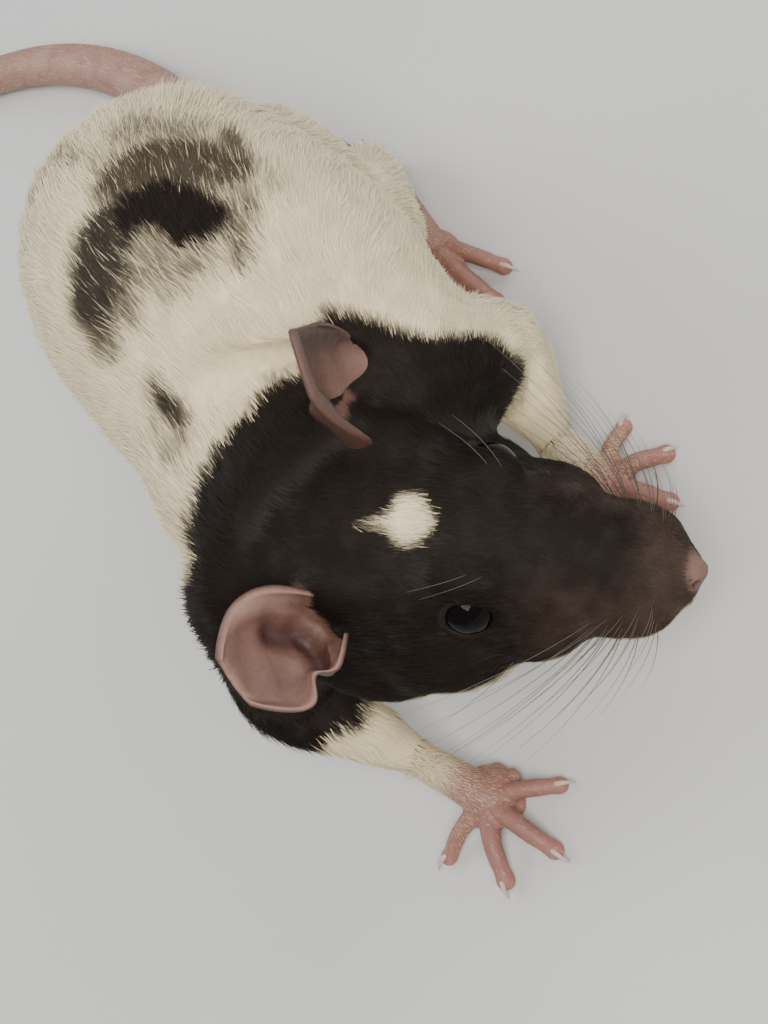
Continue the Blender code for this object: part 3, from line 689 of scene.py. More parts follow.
def skin_material(colours):
    """The skin under the coat, with its bare places, and painted shade in the nostrils and the mouth."""
    made, nodes, links, shader = new_material("Skin", 0.6, 0.2)
    group = nodes.new("ShaderNodeGroup")
    group.node_tree = coat_colours(colours)
    for name in ("Dark", "Brown"):
        links.new(number(nodes, name.lower()), group.inputs[name])
    group.inputs["Along"].default_value = 0.25
    lumps = grain(nodes, 900.0)
    links.new(lumps, group.inputs["Tone"])
    pink = mix_colour(nodes, links, lumps, tuple(colours.nose_shadow), tuple(colours.nose))
    colour = mix_colour(nodes, links, number(nodes, "bare"), group.outputs[0], pink)
    ear = mix_colour(nodes, links, lumps, tuple(colours.ear_shadow), tuple(colours.ear))
    colour = mix_colour(nodes, links, number(nodes, "bowl"), colour, ear)
    # Painted shade: the nostrils, the mouth's groove and the split of the lip turn nearly black, as shade in
    # these creases.
    colour = mix_colour(nodes, links, number(nodes, "painted_crease_shade"), colour, (0.012, 0.008, 0.008))
    links.new(colour, shader.inputs["Base Color"])
    fine = grain(nodes, 4200.0, 2.0)
    bump(nodes, links, fine, 0.35, 0.0002, shader)
    return made


def bare_material(name, low, high, flush, roughness=0.5, specular=0.4):
    """Thin bare skin: two tones in soft patches, and a flush where its own number says."""
    made, nodes, links, shader = new_material(name, roughness, specular)
    patches = grain(nodes, 420.0, 4.0)
    colour = mix_colour(nodes, links, patches, tuple(low), tuple(high))
    colour = mix_colour(nodes, links, number(nodes, "flush"), colour, tuple(flush))
    links.new(colour, shader.inputs["Base Color"])
    soften_light(shader, 0.12)
    wrinkles = grain(nodes, 2600.0, 3.0)
    bump(nodes, links, wrinkles, 0.4, 0.0002, shader)
    return made


def soften_light(shader, share):
    """Lets some light through thin skin, redder the deeper it goes."""
    shader.inputs["Subsurface Weight"].default_value = share
    shader.inputs["Subsurface Radius"].default_value = (1.0, 0.35, 0.2)
    shader.inputs["Subsurface Scale"].default_value = 1.2 * MM


def colour_property(name, words, value):
    """A colour that the panel shows."""
    return FloatVectorProperty(
        name=name, description=words, subtype="COLOR", size=3, default=value, min=0, max=1
    )


def size_property(name, words, value, low, high):
    """A length in millimetres that the panel shows."""
    return FloatProperty(name=name, description=words, default=value, min=low, max=high)


def count_property(name, words, value, most):
    """A number of tufts that the panel shows."""
    return IntProperty(name=name, description=words, default=value, min=500, max=most)


class RatColours(PropertyGroup):
    """Colours of the coat and the bare skin."""

    cream: colour_property("Cream", "Tips of the pale coat", (0.93, 0.81, 0.54))
    cream_root: colour_property("Cream root", "Roots of the pale coat", (0.79, 0.67, 0.43))
    hood: colour_property("Hood", "Tips of the dark coat", (0.018, 0.012, 0.008))
    hood_root: colour_property("Hood root", "Roots of the dark coat", (0.008, 0.005, 0.0035))
    muzzle: colour_property("Muzzle", "Short hair of the muzzle", (0.046, 0.029, 0.021))
    nose: colour_property("Nose", "Bare skin of the nose and lips", (0.23, 0.14, 0.105))
    nose_shadow: colour_property("Nose shadow", "Creases of the nose and lips", (0.13, 0.075, 0.06))
    paw: colour_property("Paw", "Skin of the paws", (0.33, 0.168, 0.132))
    paw_shadow: colour_property("Paw shadow", "Deeper tone of the paws", (0.235, 0.104, 0.08))
    ear: colour_property("Ear", "Inside of the ears", (0.205, 0.105, 0.08))
    ear_shadow: colour_property("Ear shadow", "Deeper tone inside the ears", (0.105, 0.05, 0.038))
    ear_edge: colour_property("Ear edge", "Rims of the ears", (0.33, 0.195, 0.155))
    ear_back: colour_property("Ear back", "Dark backs of the ears", (0.055, 0.036, 0.028))
    tail: colour_property("Tail", "Skin of the tail", (0.44, 0.275, 0.22))
    eye: colour_property("Eye", "Colour deep in the eyes", (0.004, 0.003, 0.003))


class RatSizes(PropertyGroup):
    """Sizes of the coat and its hair, in millimetres."""

    skin_voxel: size_property("Skin fineness", "Grid of the skin", 0.6, 0.3, 2)
    back_hair: size_property("Back hair", "Length of hair on the back", 4.3, 1, 12)
    crown_hair: size_property("Crown hair", "Length of hair on the crown", 2.3, 1, 8)
    face_hair: size_property("Face hair", "Length of hair on the muzzle", 1.0, 0.3, 4)
    leg_hair: size_property("Leg hair", "Length of hair low on the legs", 1.8, 0.5, 6)
    lock_count: count_property("Locks", "Long bent tufts in the coat", 58000, 90000)
    down_count: count_property("Down", "Short fine tufts between them", 200000, 250000)


# Skin

SKIN_SWELL = 0.25


def coat_depth(points):
    """How deep the skin lies under the top of the coat."""
    head = in_head(points)
    near_head = ramp(-np.linalg.norm(points - np.array(HEAD_AT), axis=1), -60.0, -34.0)
    body = 0.8 - 0.45 * ramp(points[:, 1], 66.0, 86.0)
    crown = body + (0.45 - body) * ramp(head[:, 0], -26.0, -6.0) * near_head
    depth = crown + (0.16 - crown) * ramp(head[:, 0], -4.0, 12.0) * near_head
    low = 1 - ramp(points[:, 2], 6.0, 26.0)
    depth = depth + (0.35 - depth) * low * (1 - near_head)
    for side in SIDES:
        depth = depth + 0.5 * ramp(-np.linalg.norm(points - np.array(WRIST[side]), axis=1), -9.0, -3.4)
    return depth


def eye_axes(side):
    """The way an eye looks, the way its opening runs and the way across it."""
    out = np.array(EYE_LOOKS[side].normalized())
    along = np.array((1.0, 0.0, -0.15))
    along = along - out * (along @ out)
    along /= np.linalg.norm(along)
    return out, along, np.cross(out, along)


def shape_eyes(head):
    """Draws the skin round each eye into an opening with full lids."""
    for side in SIDES:
        out, along, across = eye_axes(side)
        away = head - np.array(EYE_AT[side])
        distance = np.linalg.norm(away, axis=1)
        u = away @ along / LID_HALF_LENGTH
        v = away @ across / LID_HALF_HEIGHT
        ring = np.hypot(u, v)
        near = (distance < EYE_RADIUS + 4.0) & (away @ out > -0.5)
        inside = near & (ring < 1.0)
        inward = (EYE_RADIUS - 0.8) / distance[inside]
        head[inside] = np.array(EYE_AT[side]) + away[inside] * inward[:, None]
        lid = near & (ring >= 1.0) & (ring < 2.1)
        wanted = EYE_RADIUS + 0.45 * (1 - ramp(ring, 1.1, 2.0))
        scale = np.maximum(1.0, wanted / distance)
        head[lid] = np.array(EYE_AT[side]) + away[lid] * scale[lid][:, None]


def dent(head, normals, centre, radii, depth, turn=0.0):
    """Presses the skin in along its normals over an ellipsoid, turned about the head's z."""
    spin = np.array(rotation("Z", -turn).to_3x3())
    local = ((head - np.array(centre)) @ spin.T) / np.array(radii)
    near = 1 - ramp(np.linalg.norm(local, axis=1), 0.25, 1.0)
    head -= normals * (near * depth)[:, None]
    return near


def groove(head, normals, line, width, depth):
    """Presses a line into the skin."""
    near = 1 - ramp(line_distance(head, line), 0.0, width)
    head -= normals * (near * depth)[:, None]
    return near


MOUTH = (
    (24.4, 0.0, -11.6),
    (22.6, 2.4, -12.5),
    (19.0, 4.6, -13.2),
    (15.2, 5.8, -13.4),
    (11.5, 6.6, -12.6),
)
LIP_SPLIT = ((26.5, 0.0, -7.8), (25.4, 0.0, -9.4), (24.4, 0.0, -11.6))
NOSTRIL_AT = (24.9, 1.75, -6.5)
NOSTRIL_TURN = 24.0


def joined_flesh():
    """One object of the solids of flesh and of the eyes, which keep the skin full behind the lids."""
    bm = bmesh.new()
    for node in FLESH + ("eye_left", "eye_right"):
        bm.from_mesh(frame["nodes"][node].data)
    bmesh.ops.remove_doubles(bm, verts=bm.verts, dist=1e-6)
    mesh = bpy.data.meshes.new("skin")
    bm.to_mesh(mesh)
    bm.free()
    skin = bpy.data.objects.new("skin", mesh)
    bpy.context.scene.collection.objects.link(skin)
    return skin


def shape_face(head, normals):
    """Shapes the eyes, nostrils and mouth, and says how deep in a hollow each point now lies, for the painted
    shade that darkens the nostrils, the mouth and the split of the lip.
    """
    shape_eyes(head)
    painted_crease_shade = np.zeros(len(head))
    for turn in SIDES.values():
        x, y, z = NOSTRIL_AT
        near = dent(head, normals, (x, y * turn, z), (1.9, 0.75, 0.95), 0.9, NOSTRIL_TURN * turn)
        painted_crease_shade = np.maximum(painted_crease_shade, near)
    line = [(x, -y, z) for x, y, z in MOUTH[:0:-1]] + list(MOUTH)
    mouth = groove(head, normals, line, 0.75, 0.55)
    split = groove(head, normals, LIP_SPLIT, 0.6, 0.5)
    return np.maximum(painted_crease_shade, np.maximum(mouth * 0.75, split * 0.5))


def make_skin(sizes, colours):
    """The skin of the head, trunk and legs, drawn in under the coat and marked like it."""
    skin = joined_flesh()
    fuse(skin, sizes.skin_voxel, 11, SKIN_SWELL)
    soften_body(skin)
    refine_face(skin)

    points = points_of(skin.data)
    points -= normals_of(skin.data) * (coat_depth(points) + SKIN_SWELL)[:, None]
    set_points(skin.data, points)
    head = in_head(points)
    normals = normals_of(skin.data) @ np.array(HEAD_FRAME.to_3x3().normalized())
    painted_crease_shade = shape_face(head, normals)
    points = through(HEAD_FRAME, head)
    set_points(skin.data, points)

    store(skin.data, "dark", dark_share(points))
    store(skin.data, "brown", brown_share(points))
    store(skin.data, "bare", bare_share(points))
    store(skin.data, "bowl", ear_bowl(head, PINK_BY_EAR))
    store(skin.data, "painted_crease_shade", painted_crease_shade)
    skin.data.materials.clear()
    skin.data.materials.append(skin_material(colours))
    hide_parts(*FLESH)
    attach(skin, "root")


# Trunk: its middle line, the stretch of it that is evened out and how far each spot is blended
TRUNK_MIDDLE = (-9.0, 38.0)
TRUNK_START = 24.0
TRUNK_ROWS = 50
TRUNK_STRIPS = 72
TRUNK_REACH = 4.5


def even_trunk(points):
    """Evens out the trunk from the shoulders to the haunches, each strip of it along its own length."""
    across = points[:, 0] - TRUNK_MIDDLE[0]
    above = points[:, 2] - TRUNK_MIDDLE[1]
    radius = np.hypot(across, above)
    around = (np.arctan2(above, across) / (2 * np.pi) + 0.5) * TRUNK_STRIPS - 0.5
    along = points[:, 1] - TRUNK_START - 0.5
    near = (along > -0.5) & (along < TRUNK_ROWS - 0.5) & (points[:, 2] > 16.0)

    strip = np.round(around[near]).astype(int) % TRUNK_STRIPS
    cell = strip * TRUNK_ROWS + np.round(along[near]).astype(int)
    cells = (TRUNK_STRIPS, TRUNK_ROWS)
    count = np.bincount(cell, minlength=TRUNK_STRIPS * TRUNK_ROWS).reshape(cells)
    table = np.bincount(cell, radius[near], TRUNK_STRIPS * TRUNK_ROWS).reshape(cells)
    table = table / np.maximum(count, 1)
    known = (count > 0).astype(float)
    places = np.arange(TRUNK_ROWS)
    blend = np.exp(-((places[:, None] - places[None]) ** 2) / (2 * TRUNK_REACH**2))
    smooth = (table * known) @ blend / np.maximum(known @ blend, 1e-6)
    change = (smooth - table) * known

    weight = ramp(points[:, 1], 34.0, 40.0) * (1 - ramp(points[:, 1], 56.0, 64.0))
    weight *= ramp(points[:, 2], 18.0, 26.0)
    chosen = np.flatnonzero(near & (weight > 0))
    i = np.floor(around[chosen]).astype(int)
    j = np.floor(along[chosen]).astype(int).clip(0, TRUNK_ROWS - 2)
    u, v = around[chosen] - i, along[chosen] - j
    i, after = i % TRUNK_STRIPS, (i + 1) % TRUNK_STRIPS
    value = (change[i, j] * (1 - v) + change[i, j + 1] * v) * (1 - u)
    value += (change[after, j] * (1 - v) + change[after, j + 1] * v) * u
    push = value * weight[chosen] / radius[chosen]
    points[chosen, 0] += across[chosen] * push
    points[chosen, 2] += above[chosen] * push


def soften_body(skin):
    """Smooths the trunk where its shapes meet, and leaves the head, the hands and the feet alone."""
    points = points_of(skin.data)
    even_trunk(points)
    set_points(skin.data, points)
    weight = ramp(points[:, 1], 32.0, 38.0) * ramp(points[:, 2], 8.0, 14.0)
    group = skin.vertex_groups.new(name="body")
    for step in range(1, 5):
        chosen = np.flatnonzero((weight > (step - 1) / 4) & (weight <= step / 4))
        group.add(chosen.tolist(), step / 4, "REPLACE")
    smooth = skin.modifiers.new("soft body", "SMOOTH")
    smooth.factor = 0.5
    smooth.iterations = 49
    smooth.vertex_group = "body"
    settle(skin)
    skin.vertex_groups.clear()


def refine_face(skin):
    """Halves the skin's grid on the muzzle and round the eyes."""
    bm = bmesh.new()
    bm.from_mesh(skin.data)
    bm.verts.ensure_lookup_table()
    head = in_head(np.array([vert.co for vert in bm.verts]) / MM - np.array(AT_HOME))
    fine = head[:, 0] > 17.0
    for side in SIDES:
        fine |= np.linalg.norm(head - np.array(EYE_AT[side]), axis=1) < 6.5
    edges = [edge for edge in bm.edges if fine[edge.verts[0].index] and fine[edge.verts[1].index]]
    bmesh.ops.subdivide_edges(bm, edges=edges, cuts=1, use_grid_fill=True)
    bmesh.ops.triangulate(bm, faces=[face for face in bm.faces if len(face.verts) > 4])
    bm.to_mesh(skin.data)
    bm.free()


class RAT_OT_skin(Operator):
    """Make one skin over the head, trunk and legs"""

    bl_idname = "rat.skin"
    bl_label = "Skin"

    def execute(self, context):
        make_skin(context.scene.rat_sizes, context.scene.rat_colours)
        return {"FINISHED"}


# Coat


def coat_regions(points):
    """The name of the coat piece that each point belongs to."""
    head = in_head(points)
    on_head = (head[:, 0] > -24) & (head[:, 2] > -24) & (np.abs(head[:, 1]) < 24) & (points[:, 1] < 30)
    names = np.full(len(points), "coat_back", dtype=object)
    names[points[:, 1] < 42] = "coat_shoulders"
    names[points[:, 1] > 74] = "coat_rump"
    side = (points[:, 2] < 40) & (points[:, 1] > 36)
    left = points[:, 0] > -8
    names[side & left] = "coat_left_flank"
    names[side & ~left] = "coat_right_flank"
    names[side & left & (points[:, 1] > 62)] = "coat_left_haunch"
    names[side & ~left & (points[:, 1] > 62)] = "coat_right_haunch"
    names[(points[:, 2] < 32) & (points[:, 1] <= 36)] = "coat_chest"
    names[on_head] = "coat_crown"
    names[on_head & (head[:, 2] < -4)] = "coat_cheeks"
    names[on_head & (head[:, 0] > 4)] = "coat_face"
    names[on_head & (head[:, 0] > 12)] = "coat_muzzle"
    return names


def hair_length(points, sizes):
    """How long the hair is at each point."""
    head = in_head(points)
    on_head = ramp(-np.linalg.norm(points - np.array(HEAD_AT), axis=1), -46.0, -30.0)
    front = ramp(head[:, 0], -38.0, -14.0)
    muzzle = ramp(head[:, 0], -2.0, 14.0)
    length = sizes.back_hair + (sizes.crown_hair - sizes.back_hair) * on_head * front
    length = length + (sizes.face_hair - length) * muzzle * on_head
    length = length + 1.3 * ramp(points[:, 1], 66.0, 86.0)
    low = 1 - ramp(points[:, 2], 7.0, 24.0)
    belly = ramp(points[:, 1], 38.0, 48.0) * ramp(-points[:, 1], -100.0, -92.0)
    low *= 1 - 0.6 * belly
    length = length + (sizes.leg_hair - length) * low * (1 - on_head)
    for side in SIDES:
        wrist = ramp(-np.linalg.norm(points - np.array(WRIST[side]), axis=1), -7.0, -3.0)
        length = length + (1.9 - length) * wrist
    return length


def scatter(mesh, count, density, seed):
    """Random roots on the mesh, with the way it faces there and each root's spot on the flat layout."""
    mesh.calc_loop_triangles()
    corners = rows_of(mesh.loop_triangles, "vertices", 3, np.int32)
    loops = rows_of(mesh.loop_triangles, "loops", 3, np.int32)
    flat = rows_of(mesh.uv_layers.active.data, "uv", 2, np.float32)
    points = points_of(mesh)
    a, b, c = (points[corners[:, k]] for k in range(3))
    normals = np.cross(b - a, c - a)
    area = 0.5 * np.linalg.norm(normals, axis=1)
    weight = area * density((a + b + c) / 3, unit(normals))
    random = np.random.default_rng(seed)
    steps = (np.arange(count) + random.uniform(size=count)) / count
    chosen = np.searchsorted(np.cumsum(weight) / weight.sum(), steps).clip(0, len(weight) - 1)
    shares = random.dirichlet((1.0, 1.0, 1.0), count)
    corners, loops = corners[chosen], loops[chosen]
    at_corners = (points[corners], normals_of(mesh)[corners], flat[loops])
    roots, normals, spots = (np.einsum("nk,nkd->nd", shares, rows) for rows in at_corners)
    return roots, unit(normals), spots


# A tuft is a flat three-sided blade drawn to a point: a lock bends in the middle, and down is straight.
# Each has its faces, how far along it each corner is and where its corners lie on the flat layout.
LOCK = (
    *((0, 2, 1), (0, 1, 4), (0, 4, 3), (1, 2, 5), (1, 5, 4)),
    *((2, 0, 3), (2, 3, 5), (3, 4, 6), (4, 5, 6), (5, 3, 6)),
)
LOCK_ALONG = (0.0, 0.0, 0.0, 0.6, 0.6, 0.6, 1.0)
LOCK_PATCH = ((-1, -1), (1, -1), (0, -1), (-1, 0), (1, 0), (0, 0), (0, 1))
DOWN = ((0, 2, 1), (0, 1, 3), (1, 2, 3), (2, 0, 3))
DOWN_ALONG = (0.0, 0.0, 0.0, 1.0)
DOWN_PATCH = ((-1, -1), (1, -1), (0, -1), (0, 1))
PATCH_SIZE = 0.0015
LEAST_HEIGHT = 0.03


def tuft_points(tufts, bent):
    """The corners of every tuft, and the way each corner faces."""
    normals, lie = tufts["normals"], tufts["lie"]
    length, width, lift, droop, sway = tufts["shape"].T
    side = np.cross(normals, lie)
    base = tufts["roots"] - normals * (0.02 + 0.03 * length)[:, None]
    half = side * (width * 0.5)[:, None]
    ridge = normals * (width * 0.3)[:, None]
    first = unit(lie * np.cos(lift)[:, None] + normals * np.sin(lift)[:, None])
    low = lift - droop
    second = unit(lie * np.cos(low)[:, None] + normals * np.sin(low)[:, None] + side * sway[:, None])
    ways = [normals - side * 0.45, normals + side * 0.45, normals]
    if not bent:
        tip = base + unit(first + second) * length[:, None]
        corners = [base - half, base + half, base + ridge, tip]
        return np.stack(corners, axis=1), np.stack(ways + [normals + lie * 0.2], axis=1)
    middle = base + first * (length * 0.5)[:, None] + side * (sway * length * 0.15)[:, None]
    tip = middle + second * (length * 0.5)[:, None]
    corners = [base - half, base + half, base + ridge]
    corners += [middle - half * 0.8, middle + half * 0.8, middle + ridge * 0.8, tip]
    return np.stack(corners, axis=1), np.stack(ways + ways + [normals + lie * 0.2], axis=1)


def tuft_object(name, kinds, material):
    """One object of many tufts, from rows of bent locks and of straight down."""
    points, ways, faces, numbers, along, places = [], [], [], {}, [], []
    start = 0
    for tufts, bent in kinds:
        corners, facing = tuft_points(tufts, bent)
        corners[..., 2] = np.maximum(corners[..., 2], LEAST_HEIGHT)
        count, each = corners.shape[:2]
        pattern = np.array(LOCK if bent else DOWN)
        patch = np.array(LOCK_PATCH if bent else DOWN_PATCH) * PATCH_SIZE
        points.append(corners.reshape(-1, 3))
        ways.append(facing.reshape(-1, 3))
        faces.append((pattern[None] + start + each * np.arange(count)[:, None, None]).reshape(-1, 3))
        for key, value in tufts["numbers"].items():
            numbers.setdefault(key, []).append(np.repeat(value, each))
        along.append(np.tile(LOCK_ALONG if bent else DOWN_ALONG, count))
        places.append((np.clip(tufts["spots"], 0.002, 0.998)[:, None, :] + patch[None]).reshape(-1, 2))
        start += count * each
    faces = np.concatenate(faces)
    obj = object_of(name, np.concatenate(points), faces)
    mesh = obj.data
    for key, value in numbers.items():
        store(mesh, key, np.concatenate(value))
    store(mesh, "along", np.concatenate(along))
    uv = mesh.uv_layers.new(name="OFBake")
    uv.data.foreach_set("uv", np.concatenate(places)[faces.ravel()].astype(np.float32).ravel())
    mesh.normals_split_custom_set_from_vertices(unit(np.concatenate(ways)))
    mesh.materials.append(material)
    return obj


def unwrap(obj):
    """Lays the skin out flat, so that each hair can be placed on it by its root."""
    bpy.context.view_layer.objects.active = obj
    obj.select_set(True)
    bpy.ops.object.mode_set(mode="EDIT")
    bpy.ops.mesh.select_all(action="SELECT")
    bpy.ops.uv.smart_project(angle_limit=math.radians(75), island_margin=0.001)
    bpy.ops.object.mode_set(mode="OBJECT")
    obj.select_set(False)


def grow(mesh, count, sizes, seed, bent):
    """Where each tuft stands on the skin, how it lies and what colour it has."""

    def density(points, _):
        return (1 - bare_share(points)) / np.clip(hair_length(points, sizes), 1.0, 6.0) ** 0.85

    roots, normals, spots = scatter(mesh, count, density, seed)
    head = in_head(roots)
    keep = np.ones(len(roots), bool)
    for side in SIDES:
        keep &= np.linalg.norm(head - np.array(EYE_AT[side]), axis=1) > EYE_RADIUS + 0.1
    keep &= ear_bowl(head, BARE_BY_EAR) < 0.5
    roots, normals, spots = roots[keep], normals[keep], spots[keep]

    random = np.random.default_rng(seed + 1)
    count = len(roots)
    lie = coat_lie(roots, normals)
    swirl = ripple(roots, 9.0, 21) * 0.16 + ripple(roots, 2.8, 22) * 0.13 + random.normal(size=count) * 0.1
    lie = unit(lie + np.cross(normals, lie) * swirl[:, None])
    length = hair_length(roots, sizes) * random.uniform(0.75, 1.15, count)
    upright = blot(roots, ((8.0, 76.0, 54.5, 3.0), (12.5, 71.0, 53.0, 2.0)), 3.0)
    arms = (1 - ramp(roots[:, 2], 8.0, 20.0)) * (1 - ramp(roots[:, 1], 36.0, 42.0))
    clump = ripple(roots, 4.5, 23) + 1.2 * ramp(roots[:, 1], 70.0, 88.0) + 1.6 * arms
    if bent:
        width = 0.09 + 0.022 * length
        lift = np.radians(9.5 + 3.0 * clump + random.normal(size=count) * 2.6 + 26 * upright)
    else:
        length = length * 0.75
        width = 0.08 + 0.022 * length
        lift = np.radians(8.0 + 2.5 * clump + random.normal(size=count) * 2.2 + 18 * upright)
    lift = lift.clip(0.05, 1.2)
    droop = np.minimum(np.radians(random.uniform(2, 9, count)), lift - 0.02)
    sway = random.normal(size=count) * 0.08
    shape = np.stack([length, width, lift, droop, sway], axis=1)

    seen = roots + lie * (length * 0.72)[:, None]
    share = dark_share(seen)
    spread = dark_share(seen + random.normal(size=roots.shape) * 0.3)
    picked = random.uniform(size=count) < spread
    dark = 0.6 * spread + 0.4 * picked * ramp(spread, 0.0, 0.15)
    dark = np.where(share > 0.97, 1.0, dark)
    tone = np.clip(0.5 + 0.1 * random.normal(size=count) + 0.12 * ripple(roots, 6.0, 24), 0, 1)
    numbers = {"dark": dark, "brown": brown_share(seen), "tone": tone}
    tufts = {"roots": roots, "normals": normals, "lie": lie}
    return tufts | {"shape": shape, "spots": spots, "numbers": numbers}


def some_of(tufts, chosen):
    """The chosen ones of the tufts."""
    own = {key: value[chosen] for key, value in tufts.items() if key != "numbers"}
    own["numbers"] = {key: value[chosen] for key, value in tufts["numbers"].items()}
    return own


MOST_TRIANGLES = 200000
LOCK_SEED = 11
DOWN_SEED = 31


def make_coat(sizes, colours):
    """The coat in pieces, each of long bent locks with fine straight down between them."""
    skin = bpy.data.objects["skin"]
    unwrap(skin)
    locks = grow(skin.data, sizes.lock_count, sizes, LOCK_SEED, True)
    down = grow(skin.data, sizes.down_count, sizes, DOWN_SEED, False)
    lock_places = coat_regions(locks["roots"])
    down_places = coat_regions(down["roots"])
    material = coat_material(colours)
    for name in sorted(set(down_places)):
        kinds = [(some_of(locks, lock_places == name), True), (some_of(down, down_places == name), False)]
        coat = tuft_object(name, kinds, material)
        if len(coat.data.polygons) >= MOST_TRIANGLES:
            raise RuntimeError(f"{name} has {len(coat.data.polygons)} triangles, more than it may")
        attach(coat, "root")


PAW_HAIRS = {"hand": 6000, "foot": 4500}
TAIL_HAIRS = 6000
EAR_HAIRS = 3200
PAW_SEED = 71
TAIL_SEED = 81
EAR_SEED = 91


def make_fuzz(base, name, count, seed, density, length, lie_at, dark, colours):
    """Sparse short hairs on a bare piece, of one tone."""
    unwrap(base)
    roots, normals, spots = scatter(base.data, count, density, seed)
    lie = lie_at(roots)
    lie = unit(lie - normals * np.sum(lie * normals, axis=1, keepdims=True))
    random = np.random.default_rng(seed + 1)
    lie = unit(lie + np.cross(normals, lie) * (random.normal(size=count) * 0.2)[:, None])
    long = length(roots) * random.uniform(0.6, 1.2, count)
    lift = np.radians(random.uniform(8, 26, count))
    sway = random.normal(size=count) * 0.1
    shape = np.stack([long, 0.035 + 0.02 * long, lift, lift * 0.5, sway], axis=1)
    tone = random.uniform(0.3, 0.8, count)
    numbers = {"dark": np.full(count, dark), "brown": np.full(count, 0.3), "tone": tone}
    tufts = {"roots": roots, "normals": normals, "lie": lie}
    tufts |= {"shape": shape, "spots": spots, "numbers": numbers}
    fuzz = tuft_object(name, [(tufts, False)], coat_material(colours))
    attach(fuzz, "root")


def fuzz_on_paws(colours):
    """White hair on the backs of the hands and feet, thinning out towards the toes."""
    for order, side in enumerate(SIDES):
        wrist = np.array(WRIST[side])
        palm = np.array(PALM[side])
        heel = np.array(hind_frame(SIDES[side]) @ Vector((0.0, 0.0, 3.0)))
        toes = np.array(hind_frame(SIDES[side]) @ Vector((26.0, 0.0, 3.0)))
        for name, start, end, reach in (("hand", wrist, palm, 15.0), ("foot", heel, toes, 30.0)):

            def near_fur(points):
                return ramp(-np.linalg.norm(points - start, axis=1), -7.5, -2.5)

            def density(points, normals):
                away = np.linalg.norm(points - start, axis=1)
                on_top = ramp(normals[:, 2], -0.35, 0.45) * (0.04 + ramp(-away, -reach, -reach * 0.25))
                return on_top + 1.6 * near_fur(points)

            def length(points):
                return 0.85 + 0.75 * near_fur(points)

            def lie_at(points):
                return unit(points - start) + (end - start) * 0.06

            base = bpy.data.objects[name + "_" + side]
            count, seed = PAW_HAIRS[name], PAW_SEED + order
            make_fuzz(base, name + "_hair_" + side, count, seed, density, length, lie_at, 0.0, colours)


def fuzz_on_tail(colours):
    """Fine hair that lies along the tail."""
    centres = np.array([tail_point(s) for s in np.linspace(0, TAIL_LENGTH, 240)])
    ways = unit(np.gradient(centres[:, :3], axis=0))

    def lie_at(points):
        nearest = np.array([np.argmin(np.sum((centres[:, :3] - point) ** 2, axis=1)) for point in points])
        return ways[nearest]

    def density(points, normals):
        return ramp(normals[:, 2], -0.8, 0.0)

    def length(points):
        return np.full(len(points), 1.3)

    base = bpy.data.objects["tail_skin"]
    make_fuzz(base, "tail_hair", TAIL_HAIRS, TAIL_SEED, density, length, lie_at, 0.25, colours)


def fuzz_on_ears(colours):
    """Dark down, mostly on the backs of the ears."""
    for side in SIDES:
        _, stands, opens = EARS[side][:3]
        turn = np.array(HEAD_FRAME.to_3x3().normalized())
        up = turn @ np.array(Vector(stands).normalized())
        face = turn @ np.array(Vector(opens).normalized())

        def density(points, normals):
            return 0.06 + ramp(-(normals @ face), -0.1, 0.3)

        def lie_at(points):
            return np.tile(up, (len(points), 1))

        def length(points):
            return np.full(len(points), 0.9)

        base = bpy.data.objects["ear_" + side + "_skin"]
        name = "ear_hair_" + side
        make_fuzz(base, name, EAR_HAIRS, EAR_SEED, density, length, lie_at, 0.92, colours)


WHISKER_ROWS = 5
WHISKER_COLUMNS = 5
WHISKER_STEPS = 14
WHISKER_SIDES = 5
WHISKER_SEED = 51


def whisker_starts(random):
    """Where each whisker grows, which way it sets out and how long it is, in the head's frame."""
    for turn in (1, -1):
        for row in range(WHISKER_ROWS):
            for column in range(WHISKER_COLUMNS):
                ahead, beside = 20.6 - 1.55 * column - 0.3 * row, 5.2 + 0.75 * column
                start = Vector((ahead, beside * turn, -4.4 - 1.15 * row))
                way = Vector((0.1 - 0.2 * column, turn, 0.42 - 0.22 * row))
                way += Vector(random.normal(size=3)) * 0.07
                yield start, way, 9.0 + 3.9 * column + random.uniform(-1.5, 1.5)
        for k in range(2):
            start = Vector((2.0 - 1.6 * k, 6.6 * turn, 4.2))
            yield start, Vector((-0.5 - 0.2 * k, 0.75 * turn, 0.75)), 8.0 - k
        yield Vector((4.0, 12.5 * turn, -9.0)), Vector((-0.6, turn, -0.2)), 11.0


def whisker_path(root, out, sweep, length):
    """A whisker's middle line, which bends back as it leaves the skin."""
    share = np.linspace(0, 1, WHISKER_STEPS)
    return root + np.outer(share * length, out) + np.outer(share**2 * length * 0.38, sweep)


